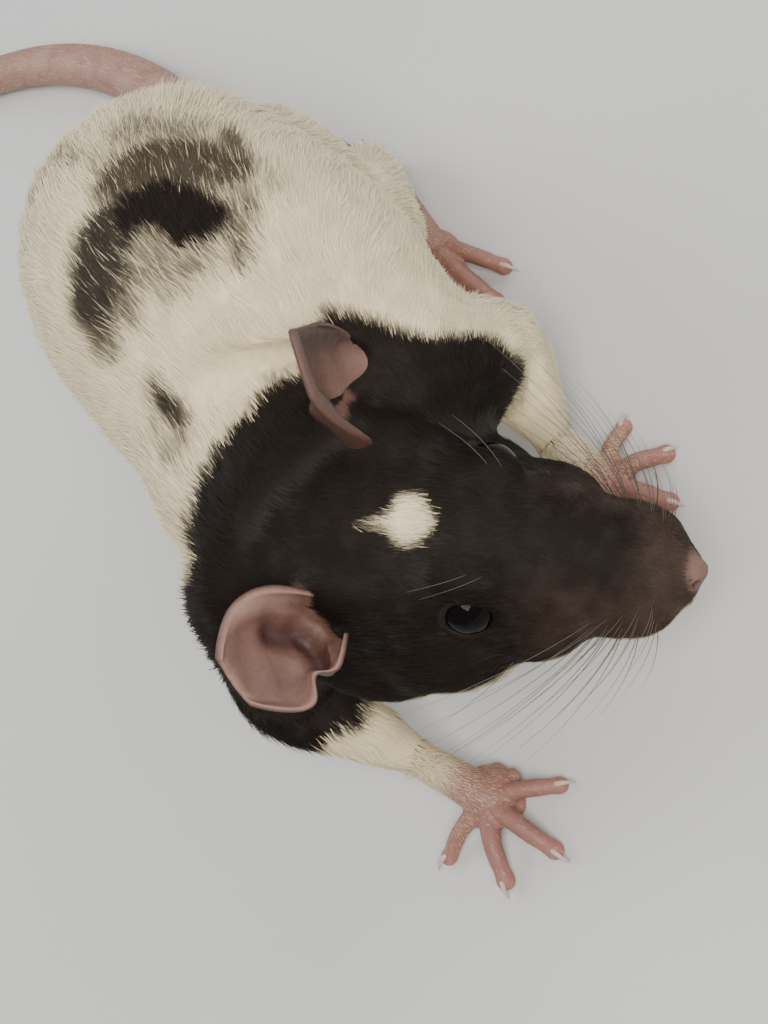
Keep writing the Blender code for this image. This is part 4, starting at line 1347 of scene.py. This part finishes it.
def make_whiskers():
    """Thin tapering whiskers that sweep back from the muzzle, above the eyes and on the cheeks."""
    skin = bpy.data.objects["skin"]
    random = np.random.default_rng(WHISKER_SEED)
    low = np.array(solid_box[0]) / MM - np.array(AT_HOME)
    high = np.array(solid_box[1]) / MM - np.array(AT_HOME)
    room = (high - low) * 0.03 + 9.0
    share = np.linspace(0, 1, WHISKER_STEPS)
    points, faces = [], []
    for start, way, length in whisker_starts(random):
        near = (HEAD_FRAME @ start + AT_HOME) * MM
        _, spot, normal, _ = skin.closest_point_on_mesh(near)
        root = np.array(spot) / MM - np.array(AT_HOME) - np.array(normal) * 0.3
        out = HEAD_FRAME.to_3x3().normalized() @ way.normalized()
        sweep = HEAD_FRAME.to_3x3().normalized() @ Vector((-1.0, 0.0, -0.3))
        path = whisker_path(root, out, sweep, length)
        while (path < low - room).any() or (path > high + room).any() or path[:, 2].min() < 0.8:
            length *= 0.94
            path = whisker_path(root, out, sweep, length)
        along = unit(np.gradient(path, axis=0))
        beside = unit(np.cross(along, (0.0, 0.0, 1.0)))
        above = np.cross(beside, along)
        radius = 0.012 + 0.05 * (1 - share)
        first = len(points) * WHISKER_STEPS * WHISKER_SIDES
        points.append(rings_round(path, beside, above, radius, WHISKER_SIDES))
        faces.append(ring_faces(WHISKER_STEPS, WHISKER_SIDES, first))
    whiskers = object_of("whiskers", np.concatenate(points), np.concatenate(faces))
    close_ends(whiskers)
    store(whiskers.data, "along", np.tile(np.repeat(share, WHISKER_SIDES), len(points)))
    made, nodes, links, shader = new_material("Whisker", 0.4, 0.3)
    streaks = grain(nodes, 90.0, 2.0)
    root_tone = mix_colour(nodes, links, streaks, (0.03, 0.023, 0.018), (0.09, 0.07, 0.055))
    tone = mix_colour(nodes, links, number(nodes, "along"), root_tone, (0.20, 0.165, 0.125))
    links.new(tone, shader.inputs["Base Color"])
    whiskers.data.materials.append(made)
    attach(whiskers, "root")


class RAT_OT_whiskers(Operator):
    """Make the whiskers and the fine hair of the bare parts"""

    bl_idname = "rat.whiskers"
    bl_label = "Whiskers and fine hair"

    def execute(self, context):
        colours = context.scene.rat_colours
        make_whiskers()
        fuzz_on_paws(colours)
        fuzz_on_tail(colours)
        fuzz_on_ears(colours)
        return {"FINISHED"}


class RAT_OT_coat(Operator):
    """Grow the coat over the skin in thin overlapping tufts"""

    bl_idname = "rat.coat"
    bl_label = "Coat"

    def execute(self, context):
        make_coat(context.scene.rat_sizes, context.scene.rat_colours)
        return {"FINISHED"}


# Eyes


def make_eyes(colours):
    """Both eyeballs, each with the bare edge of its lids."""
    glossy, _, _, shader = new_material("Eye", 0.05, 0.09)
    shader.inputs["Base Color"].default_value = (*colours.eye, 1.0)
    rim = bare_material("Eyelid", colours.hood_root, colours.hood, colours.nose_shadow, 0.5, 0.12)
    for side in SIDES:
        bm = bmesh.new()
        add_ball(bm, EYE_AT[side], (EYE_RADIUS,) * 3, HEAD_FRAME, sides=48)
        eye = object_from(bm, "eyeball_" + side)
        eye.data.materials.append(glossy)
        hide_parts("eye_" + side)
        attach(eye, "root")
        lid = make_lid(side)
        lid.data.materials.append(rim)
        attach(lid, "root")


def make_lid(side):
    """The bare edge of the lids, a soft ring lying on the eye."""
    out, along, across = (Vector(axis) for axis in eye_axes(side))
    rings = []
    for i in range(LID_STEPS):
        angle = 2 * math.pi * i / LID_STEPS
        half_height = LID_HALF_HEIGHT * (1 - 0.06 * abs(math.cos(angle)) ** 6)
        flat = along * (math.cos(angle) * LID_HALF_LENGTH) + across * (math.sin(angle) * half_height)
        height = math.sqrt(max(0.1, EYE_RADIUS**2 - flat.length_squared))
        up = (flat + out * height).normalized()
        centre = EYE_AT[side] + up * (EYE_RADIUS + 0.08)
        away = flat.normalized()
        for k in range(LID_SIDES):
            turn = 2 * math.pi * k / LID_SIDES
            point = centre + away * (math.cos(turn) * 0.32) + up * (math.sin(turn) * 0.22)
            rings.append(HEAD_FRAME @ point)
    lid = object_of("eyelid_" + side, rings, ring_faces(LID_STEPS, LID_SIDES, closed=True))
    close_ends(lid)
    store(lid.data, "flush", np.zeros(len(lid.data.vertices)))
    return lid


class RAT_OT_eyes(Operator):
    """Make the glossy eyes and the edges of their lids"""

    bl_idname = "rat.eyes"
    bl_label = "Eyes"

    def execute(self, context):
        make_eyes(context.scene.rat_colours)
        return {"FINISHED"}


# Ears


def ear_grid(side, rows, columns):
    """The ear's middle surface, each point's share of its height and width, and the way its cup opens."""
    root, stands, opens, length, width, corner, roll = EARS[side]
    up = Vector(stands).normalized()
    face = Vector(opens)
    face = (face - up * face.dot(up)).normalized()
    across = up.cross(face)
    v, w = np.meshgrid(np.linspace(0, 1, rows + 1), np.linspace(-1, 1, columns + 1), indexing="ij")
    height = -EAR_SINKS + (length + EAR_SINKS) * v - corner * w * v
    half = 0.5 * width * np.sin(np.pi * (0.2 + 0.74 * v)) ** 0.6
    wrap = np.radians(44 + roll * np.maximum(0.0, 1 - 1.45 * v) ** 1.2)
    radius = half / wrap
    angle = w * wrap
    wide = np.sin(angle) * radius * 1.25
    if side == "left":
        wide = wide + 3.0 * ramp(w, 0.1, 1.0) * np.exp(-(((v - 0.16) / 0.26) ** 2))
    deep = (1 - np.cos(angle)) * radius - 1.5 * (1 - v)
    points = np.array(root) + height[..., None] * np.array(up)
    points = points + wide[..., None] * np.array(across) + deep[..., None] * np.array(face)
    return points, v, w, np.array(face)


def along_ear(v, w, line, size):
    """1 on a line drawn over the ear in shares of its height and width, and less this far off it."""
    spots = np.stack([v * 14.0, w * 7.0, np.zeros_like(v)], axis=-1).reshape(-1, 3)
    rows = [(high * 14.0, wide * 7.0, 0.0) for high, wide in line]
    return np.exp(-((line_distance(spots, rows) / size) ** 2)).reshape(v.shape)


EAR_CANAL = ((0.48, 0.27), (0.40, 0.14), (0.31, 0.08), (0.24, -0.10), (0.23, -0.32), (0.27, -0.52))
EAR_FOLD = ((0.60, 0.76), (0.45, 0.62), (0.22, 0.42), (0.10, 0.0), (0.10, -0.3))
EAR_TRAGUS = ((0.17, -0.55), (0.19, -0.66))
EAR_LOBE = ((0.5, -0.2), (0.66, -0.35), (0.6, -0.55))


EAR_ROWS = 84
EAR_COLUMNS = 72


def make_ear(side, material):
    """A thin cupped ear with its canal, folds and rim, the inside and the outside as one closed shell."""
    rows, columns = EAR_ROWS, EAR_COLUMNS
    middle, v, w, face = ear_grid(side, rows, columns)
    normals = np.cross(np.gradient(middle, axis=0), np.gradient(middle, axis=1))
    normals /= np.linalg.norm(normals, axis=-1, keepdims=True)
    normals *= np.sign(normals @ face)[rows // 2, columns // 2]
    inward = -w * SIDES[side]
    notch = (0.12 if side == "left" else 0.34) * np.exp(-(((v - 0.41) / 0.1) ** 2)) * ramp(-inward, 0.1, 0.9)
    middle = middle + (middle[:, columns // 2][:, None] - middle) * notch[..., None]
    front = ramp(inward, 0.55, 0.97)
    rim = np.maximum(np.maximum(front, ramp(-inward, 0.86, 0.97)), ramp(v, 0.9, 0.985))
    canal = along_ear(v, inward, EAR_CANAL, 1.3)
    fold = along_ear(v, inward, EAR_FOLD, 1.7)
    tragus = along_ear(v, inward, EAR_TRAGUS, 1.2)
    lobe = along_ear(v, inward, EAR_LOBE, 2.6)
    waves = 0.1 * np.sin(v * 21 + w * 4) * (1 - rim) + 0.06 * np.sin(v * 9 - w * 13)
    thick = 0.5 + 0.1 * rim + 0.55 * front * ramp(v, 0.1, 0.35)
    raised = thick / 2 + 0.9 * fold + 1.0 * tragus + 0.45 * lobe + waves - 1.25 * canal
    inside = middle + normals * raised[..., None]
    outside = middle - normals * (thick / 2 + 1.7 * canal)[..., None]
    points = through(HEAD_FRAME, np.concatenate([inside.reshape(-1, 3), outside.reshape(-1, 3)]))
    count = (rows + 1) * (columns + 1)
    index = np.arange(count).reshape(rows + 1, columns + 1)
    quads = np.stack([index[:-1, :-1], index[:-1, 1:], index[1:, 1:], index[1:, :-1]], axis=-1)
    quads = quads.reshape(-1, 4)
    edge = np.concatenate([index[0], index[1:, -1], index[-1, -2::-1], index[-2::-1, 0]])
    onward = np.roll(edge, -1)[:-1]
    edge = edge[:-1]
    border = np.stack([edge, edge + count, onward + count, onward], axis=-1)
    faces = np.concatenate([quads, quads[:, ::-1] + count, border])
    ear = object_of("ear_" + side + "_skin", points, faces)
    bm = bmesh.new()
    bm.from_mesh(ear.data)
    bmesh.ops.recalc_face_normals(bm, faces=bm.faces)
    every_way = {"use_axis_x": True, "use_axis_y": True, "use_axis_z": True}
    for _ in range(2):
        bmesh.ops.smooth_vert(bm, verts=bm.verts, factor=0.5, **every_way)
    bm.to_mesh(ear.data)
    bm.free()
    ear.data.shade_smooth()
    mesh = ear.data
    store(mesh, "inner", np.concatenate([np.ones(count), np.zeros(count)]))
    store(mesh, "canal", np.tile(canal.ravel(), 2))
    # Painted shade: each ear's inside turns a little towards the dark back colour near its tip. On the left
    # ear the upper part turns much further, partly its brown hair and partly painted shade, and its front
    # fold is darkened as painted shade.
    painted_ear_shade = 0.1 * ramp(v, 0.42, 0.85)
    if side == "left":
        fold_shade = ramp(inward, 0.3, 0.7) * (0.45 + 0.4 * ramp(v, 0.2, 0.5))
        painted_ear_shade = np.maximum(0.85 * ramp(v + 0.12 * w, 0.58, 0.95), fold_shade)
        # Painted light: on the left ear the rim number covers the whole lower part, so that part takes the
        # pale rim colours as if lit.
        rim = np.maximum(rim, 1 - ramp(v, 0.4, 0.75))
    store(mesh, "rim", np.tile(rim.ravel(), 2))
    store(mesh, "painted_ear_shade", np.tile(painted_ear_shade.ravel(), 2))
    mesh.materials.append(material)
    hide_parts("ear_" + side)
    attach(ear, "root")


# How far beyond the bottom of each ear's cup the fur is kept off, and the skin is pink
BARE_BY_EAR = {"left": 0.3, "right": 0.4}
PINK_BY_EAR = {"left": -0.9, "right": 0.0}


def ear_bowl(head, more):
    """1 at places on the head at the bottom of an ear's cup, and so far beyond it at each side."""
    share = np.zeros(len(head))
    for side in SIDES:
        grid, v, w, face = ear_grid(side, 40, 30)
        beyond = more[side]
        chosen = (v > 0.14 - 0.2 * beyond) & (v < 0.5) & (np.abs(w) < 0.6 + 0.5 * beyond)
        spots = grid[chosen]
        tree = KDTree(len(spots))
        for i, spot in enumerate(spots):
            tree.insert(spot, i)
        tree.balance()
        near = np.flatnonzero(np.linalg.norm(head - np.array(EARS[side][0]), axis=1) < 15.0)
        for i in near:
            spot, _, distance = tree.find(head[i])
            ahead = (head[i] - np.array(spot)) @ face
            if ahead > 0.1 - beyond:
                share[i] = max(share[i], 1 - (distance - EAR_CLEAR[side] - 0.5 * beyond) / 0.8)
    return np.clip(share, 0.0, 1.0)


def ear_material(colours):
    """The ears: pink and veined inside with a paler rim, dark at the back, with painted shade in the canal
    and near the tips, and painted light low on the left ear.
    """
    made, nodes, links, shader = new_material("Ear skin", 0.52, 0.4)
    patches = grain(nodes, 260.0, 4.0)
    inside = mix_colour(nodes, links, patches, tuple(colours.ear_shadow), tuple(colours.ear))
    # The rim number brings the pale rim colour. On the left ear's lower part it is painted light.
    edge = math_node(nodes, links, "MULTIPLY", number(nodes, "rim"), 0.75)
    inside = mix_colour(nodes, links, edge, inside, tuple(colours.ear_edge))
    back, shadow = tuple(colours.ear_back), tuple(colours.ear_shadow)
    # Painted shade: the inside turns towards the dark back colour by the ear's shade number.
    inside = mix_colour(nodes, links, number(nodes, "painted_ear_shade"), inside, back)
    outside = mix_colour(nodes, links, number(nodes, "rim"), back, shadow)
    colour = mix_colour(nodes, links, number(nodes, "inner"), outside, inside)
    # Painted shade: the canal turns nearly black, as shade deep in it.
    deep = math_node(nodes, links, "MULTIPLY", number(nodes, "canal"), 0.92)
    colour = mix_colour(nodes, links, deep, colour, (0.05, 0.018, 0.015))
    links.new(colour, shader.inputs["Base Color"])
    soften_light(shader, 0.15)
    veins = grain(nodes, 900.0, 5.0)
    bump(nodes, links, veins, 0.5, 0.0003, shader)
    return made


class RAT_OT_ears(Operator):
    """Make the thin cupped ears"""

    bl_idname = "rat.ears"
    bl_label = "Ears"

    def execute(self, context):
        material = ear_material(context.scene.rat_colours)
        for side in SIDES:
            make_ear(side, material)
        return {"FINISHED"}


# Paws and claws

PAW_VOXEL = 0.28

# Toe and claw: the share of the toe's length, the height and the radius, both for a toe of this radius
TOE_LINE = ((0.0, 3.4, 1.1), (0.35, 3.6, 0.88), (0.62, 2.7, 0.86), (0.78, 1.9, 0.78), (0.93, 1.25, 0.9))
CLAW_LINE = ((0.92, 1.9, 0.4), (1.03, 1.95, 0.37), (1.13, 1.45, 0.25), (1.21, 0.75, 0.1))
TOE_RADIUS = 1.5


def toe_rows(root, angle, reach, radius):
    """A toe's line and the line of its claw, as rows of x, y, z and radius."""
    out = heading(angle)
    start = Vector(root)
    toe = []
    for share, height, size in TOE_LINE:
        spot = start + out * (reach * share)
        toe.append((spot.x, spot.y, height * radius / TOE_RADIUS, radius * size))
    claw = []
    for share, height, size in CLAW_LINE:
        spot = start + out * (reach * share)
        claw.append((spot.x, spot.y, height, size))
    return toe, claw


def forepaw_toes(side):
    """The fingers of a hand."""
    turn = SIDES[side]
    for angle, reach, radius in FORE_TOES:
        out = heading(angle * turn)
        stretch = reach * TOE_STRETCH[side] - 3.0
        yield toe_rows((out.x * 3.0, out.y * 2.8, 0.0), angle * turn, stretch, radius)


def hind_toes(turn):
    """The toes of a hind foot."""
    for angle, reach, radius in HIND_TOES:
        out = heading(angle * turn)
        yield toe_rows((21.5 + out.x * 1.5, out.y * 6.5, 0.0), angle * turn, reach, radius)


def hind_frame(turn):
    """A hind foot's own place: its heel at the start and its toes along x."""
    return HIPS_FRAME @ level_frame(Vector((-14.5, 18.8 * turn, 0.0)), 6.0 * turn)


def finish_paw(paw, material, node, claw_roots):
    """Fuses a paw, sets it on the floor and marks where its skin is flushed."""
    fuse(paw, PAW_VOXEL, 3)
    points = points_of(paw.data)
    points[:, 2] = np.maximum(points[:, 2] - 0.3, 0.0)
    set_points(paw.data, points)
    tips = np.min([np.linalg.norm(points - np.array(root), axis=1) for root in claw_roots], axis=0)
    store(paw.data, "flush", 0.6 * (1 - ramp(points[:, 2], 0.2, 2.6)) + 0.25 * (1 - ramp(tips, 1.0, 4.0)))
    paw.data.materials.clear()
    paw.data.materials.append(material)
    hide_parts(node)
    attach(paw, "root")


def add_toes(bm, toes, place):
    """Adds the toes to the paw, and returns their claws and the root of each claw."""
    claws = bmesh.new()
    roots = []
    for toe, claw in toes:
        add_limb(bm, toe, place, sides=14)
        add_limb(claws, claw, place, sides=10)
        roots.append(place @ Vector(claw[0][:3]))
    return claws, roots


def make_forepaw(side, material, horn):
    """A hand lying flat with its fingers spread, and the stub of its wrist inside the sleeve of fur."""
    turn = SIDES[side]
    place = level_frame(Vector(PALM[side]), PALM_TURN[side])
    back = place.inverted() @ Vector(WRIST[side])
    bm = bmesh.new()
    add_ball(bm, (0.0, 0.0, 3.0), (4.9, 4.4, 2.5), place)
    for x, y in ((2.2, 2.2), (2.2, -2.2), (-2.8, 1.9), (-2.8, -1.9)):
        add_ball(bm, (x, y, 1.3), (2.0, 1.8, 1.5), place)
    add_ball(bm, (-0.6, -4.3 * turn, 2.2), (1.5, 1.2, 1.1), place)
    above = back + (back - Vector((0, 0, 3.5))) * 0.35
    add_limb(bm, ((*above, 2.0), (*back, 2.4), (0.0, 0.0, 3.6, 3.1)), place, sides=20)
    claws, roots = add_toes(bm, forepaw_toes(side), place)
    finish_paw(object_from(bm, "hand_" + side), material, "forepaw_" + side, roots)
    finish_claws(object_from(claws, "hand_claws_" + side), horn)


def make_hind_foot(side, material, horn):
    """A long hind foot flat on the floor, with the stub of its ankle inside the fur."""
    turn = SIDES[side]
    place = hind_frame(turn)
    bm = bmesh.new()
    rows = ((0.6, 0.0, 3.4, 3.4), (10.0, 0.0, 3.1, 3.3), (20.0, 0.0, 3.0, 3.4))
    add_limb(bm, rows, place, sides=20)
    add_limb(bm, ((2.4, 0.0, 7.6, 3.1), (0.7, 0.0, 4.0, 3.4)), place, sides=20)
    add_ball(bm, (21.0, 0.0, 2.8), (5.0, 4.6, 2.6), place)
    claws, roots = add_toes(bm, hind_toes(turn), place)
    finish_paw(object_from(bm, "foot_" + side), material, "hind_foot_" + side, roots)
    finish_claws(object_from(claws, "foot_claws_" + side), horn)


def finish_claws(claws, horn):
    """Gives the claws of one paw their material."""
    claws.data.materials.append(horn)
    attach(claws, "root")


def horn_material():
    """The pale claws."""
    made, nodes, links, shader = new_material("Claw", 0.3, 0.5)
    streaks = grain(nodes, 1500.0, 2.0)
    colour = mix_colour(nodes, links, streaks, (0.42, 0.33, 0.26), (0.62, 0.54, 0.44))
    links.new(colour, shader.inputs["Base Color"])
    return made


class RAT_OT_paws(Operator):
    """Make the hands and feet with their claws"""

    bl_idname = "rat.paws"
    bl_label = "Paws"

    def execute(self, context):
        colours = context.scene.rat_colours
        material = bare_material("Paw skin", colours.paw_shadow, colours.paw, (0.42, 0.16, 0.13))
        horn = horn_material()
        for side in SIDES:
            make_forepaw(side, material, horn)
            make_hind_foot(side, material, horn)
        return {"FINISHED"}


# Tail


def tail_point(s):
    """The tail's centre and radius this far along it: off the rump, down to the floor, then level."""
    part = s / TAIL_LENGTH
    left = max(0.0, 1 - part)
    radius = TAIL_TIP_RADIUS + (TAIL_ROOT_RADIUS - TAIL_TIP_RADIUS) * left**0.8
    steps = 40
    spot = TAIL_ROOT.copy()
    for i in range(steps):
        middle = max(0.0, (i + 0.5) / steps * part)
        turn = TAIL_TURN_START + (TAIL_TURN_END - TAIL_TURN_START) * middle**1.15
        spot += heading(turn) * (s / steps)
    drop = min(1.0, max(0.0, s / 30.0))
    ease = 1 - (1 - drop) ** 2
    rest = radius - 0.35
    spot.z = TAIL_ROOT.z + (rest - TAIL_ROOT.z) * (3 * ease**2 - 2 * ease**3)
    return (*spot, radius)


TAIL_RING = 0.95
TAIL_STEPS = 780
TAIL_SIDES = 26


def make_tail(colours):
    """One tapering tail with a fine step at each ring of scales."""
    places = np.linspace(-5.0, TAIL_LENGTH - 0.4, TAIL_STEPS)
    rows = np.array([tail_point(s) for s in places])
    along = unit(np.gradient(rows[:, :3], axis=0))
    side = unit(np.cross((0.0, 0.0, 1.0), along))
    up = np.cross(along, side)
    step = (places / TAIL_RING) % 1.0
    radius = rows[:, 3] * (1 - 0.035 * step**3) - 0.05
    points = rings_round(rows[:, :3], side, up, radius, TAIL_SIDES)
    points[:, 2] = np.maximum(points[:, 2], 0.0)
    tail = object_of("tail_skin", points, ring_faces(TAIL_STEPS, TAIL_SIDES))
    close_ends(tail)
    store(tail.data, "ring", np.repeat(step, TAIL_SIDES))
    tail.data.materials.append(tail_material(colours))
    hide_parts("tail_base", "tail_middle", "tail_tip")
    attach(tail, "root")


def tail_material(colours):
    """Bare scaly skin, a little darker at the edge of each ring."""
    made, nodes, links, shader = new_material("Tail skin", 0.55, 0.35)
    patches = grain(nodes, 260.0, 4.0)
    colour = mix_colour(nodes, links, patches, tuple(colours.paw_shadow), tuple(colours.tail))
    edge = math_node(nodes, links, "POWER", number(nodes, "ring"), 6.0)
    edge = math_node(nodes, links, "MULTIPLY", edge, 0.5)
    colour = mix_colour(nodes, links, edge, colour, (0.30, 0.19, 0.16))
    links.new(colour, shader.inputs["Base Color"])
    bump(nodes, links, grain(nodes, 1800.0, 3.0), 0.4, 0.0002, shader)
    return made


class RAT_OT_tail(Operator):
    """Make the bare ringed tail"""

    bl_idname = "rat.tail"
    bl_label = "Tail"

    def execute(self, context):
        make_tail(context.scene.rat_colours)
        return {"FINISHED"}


# Stage

CAMERA_AZIMUTH = 24.0
CAMERA_ELEVATION = 50.0
CAMERA_ROLL = 66.0
CAMERA_PLACE = Vector((61.7, -144.8, 243.3))
PHOTO_HEIGHT = 1024
FOCAL_PIXELS = 2080.0
SENSOR_HEIGHT = 24.0


def camera_matrix():
    """The camera's place and turn: looking along its azimuth and down, then rolled about its view."""
    az, el, roll = (math.radians(v) for v in (CAMERA_AZIMUTH, CAMERA_ELEVATION, CAMERA_ROLL))
    look = Vector((-math.sin(az) * math.cos(el), math.cos(az) * math.cos(el), -math.sin(el)))
    right = Vector((math.cos(az), math.sin(az), 0.0))
    up = right.cross(look)
    x = right * math.cos(roll) - up * math.sin(roll)
    y = right * math.sin(roll) + up * math.cos(roll)
    matrix = Matrix((x, y, -look)).transposed().to_4x4()
    matrix.translation = (CAMERA_PLACE + AT_HOME) * MM
    return matrix


def add_light(name, aim, distance, size, power, tone=(1.0, 1.0, 1.0)):
    """A soft square light that looks at the animal from a direction."""
    light = bpy.data.lights.new(name, "AREA")
    light.size = size
    light.energy = power
    light.color = tone
    obj = bpy.data.objects.new(name, light)
    bpy.context.scene.collection.objects.link(obj)
    middle = Vector((0.04, -0.06, 0.03))
    obj.location = middle + Vector(aim).normalized() * distance
    obj.rotation_euler = (middle - obj.location).to_track_quat("-Z", "Y").to_euler()


def make_stage():
    """The camera of the picture, a plain pale floor and soft studio light."""
    camera = bpy.data.cameras.new("camera")
    camera.sensor_fit = "VERTICAL"
    camera.sensor_height = SENSOR_HEIGHT
    camera.lens = FOCAL_PIXELS / PHOTO_HEIGHT * SENSOR_HEIGHT
    camera.clip_start = 0.01
    obj = bpy.data.objects.new("camera", camera)
    obj.matrix_world = camera_matrix()
    bpy.context.scene.collection.objects.link(obj)
    bpy.context.scene.camera = obj

    bm = bmesh.new()
    bmesh.ops.create_grid(bm, x_segments=2, y_segments=2, size=3000.0)
    floor = object_from(bm, "floor")
    made, nodes, links, shader = new_material("Floor", 0.8, 0.2)
    tone = mix_colour(nodes, links, grain(nodes, 30.0), (0.60, 0.60, 0.59), (0.64, 0.64, 0.63))
    links.new(tone, shader.inputs["Base Color"])
    floor.data.materials.append(made)

    world = bpy.data.worlds.new("studio")
    bpy.context.scene.world = world
    world.use_nodes = True
    back = world.node_tree.nodes["Background"]
    back.inputs["Color"].default_value = (0.80, 0.83, 0.88, 1.0)
    back.inputs["Strength"].default_value = 0.45
    add_light("key", (0.2, -0.75, 1.1), 0.9, 0.5, 9.0, (1.0, 0.96, 0.9))
    add_light("fill", (1.2, 0.4, 0.8), 1.0, 0.7, 4.0)
    add_light("back", (-0.8, 1.0, 0.9), 1.0, 0.6, 5.0, (0.95, 0.97, 1.0))


class RAT_OT_stage(Operator):
    """Set up the floor, the lights and the camera"""

    bl_idname = "rat.stage"
    bl_label = "Stage"

    def execute(self, context):
        make_stage()
        return {"FINISHED"}


class RAT_PT_panel(Panel):
    """The rat's pieces and sizes"""

    bl_label = "Rat"
    bl_idname = "RAT_PT_panel"
    bl_space_type = "VIEW_3D"
    bl_region_type = "UI"
    bl_category = "Rat"

    def draw(self, context):
        layout = self.layout
        for group in (context.scene.rat_sizes, context.scene.rat_colours):
            box = layout.box()
            for name in group.__annotations__:
                box.prop(group, name)
        for operator in PIECES:
            layout.operator(operator.bl_idname)


PIECES = (
    RAT_OT_stage,
    RAT_OT_skin,
    RAT_OT_eyes,
    RAT_OT_ears,
    RAT_OT_paws,
    RAT_OT_tail,
    RAT_OT_coat,
    RAT_OT_whiskers,
)
CLASSES = (RatSizes, RatColours, *PIECES, RAT_PT_panel)


def register():
    for item in CLASSES:
        bpy.utils.register_class(item)
    bpy.types.Scene.rat_sizes = PointerProperty(type=RatSizes)
    bpy.types.Scene.rat_colours = PointerProperty(type=RatColours)


def unregister():
    del bpy.types.Scene.rat_colours
    del bpy.types.Scene.rat_sizes
    for item in reversed(CLASSES):
        bpy.utils.unregister_class(item)


def main():
    register()
    bpy.ops.rat.stage()
    bpy.ops.rat.skin()
    bpy.ops.rat.eyes()
    bpy.ops.rat.ears()
    bpy.ops.rat.paws()
    bpy.ops.rat.tail()
    bpy.ops.rat.coat()
    bpy.ops.rat.whiskers()


if __name__ == "__main__":
    main()
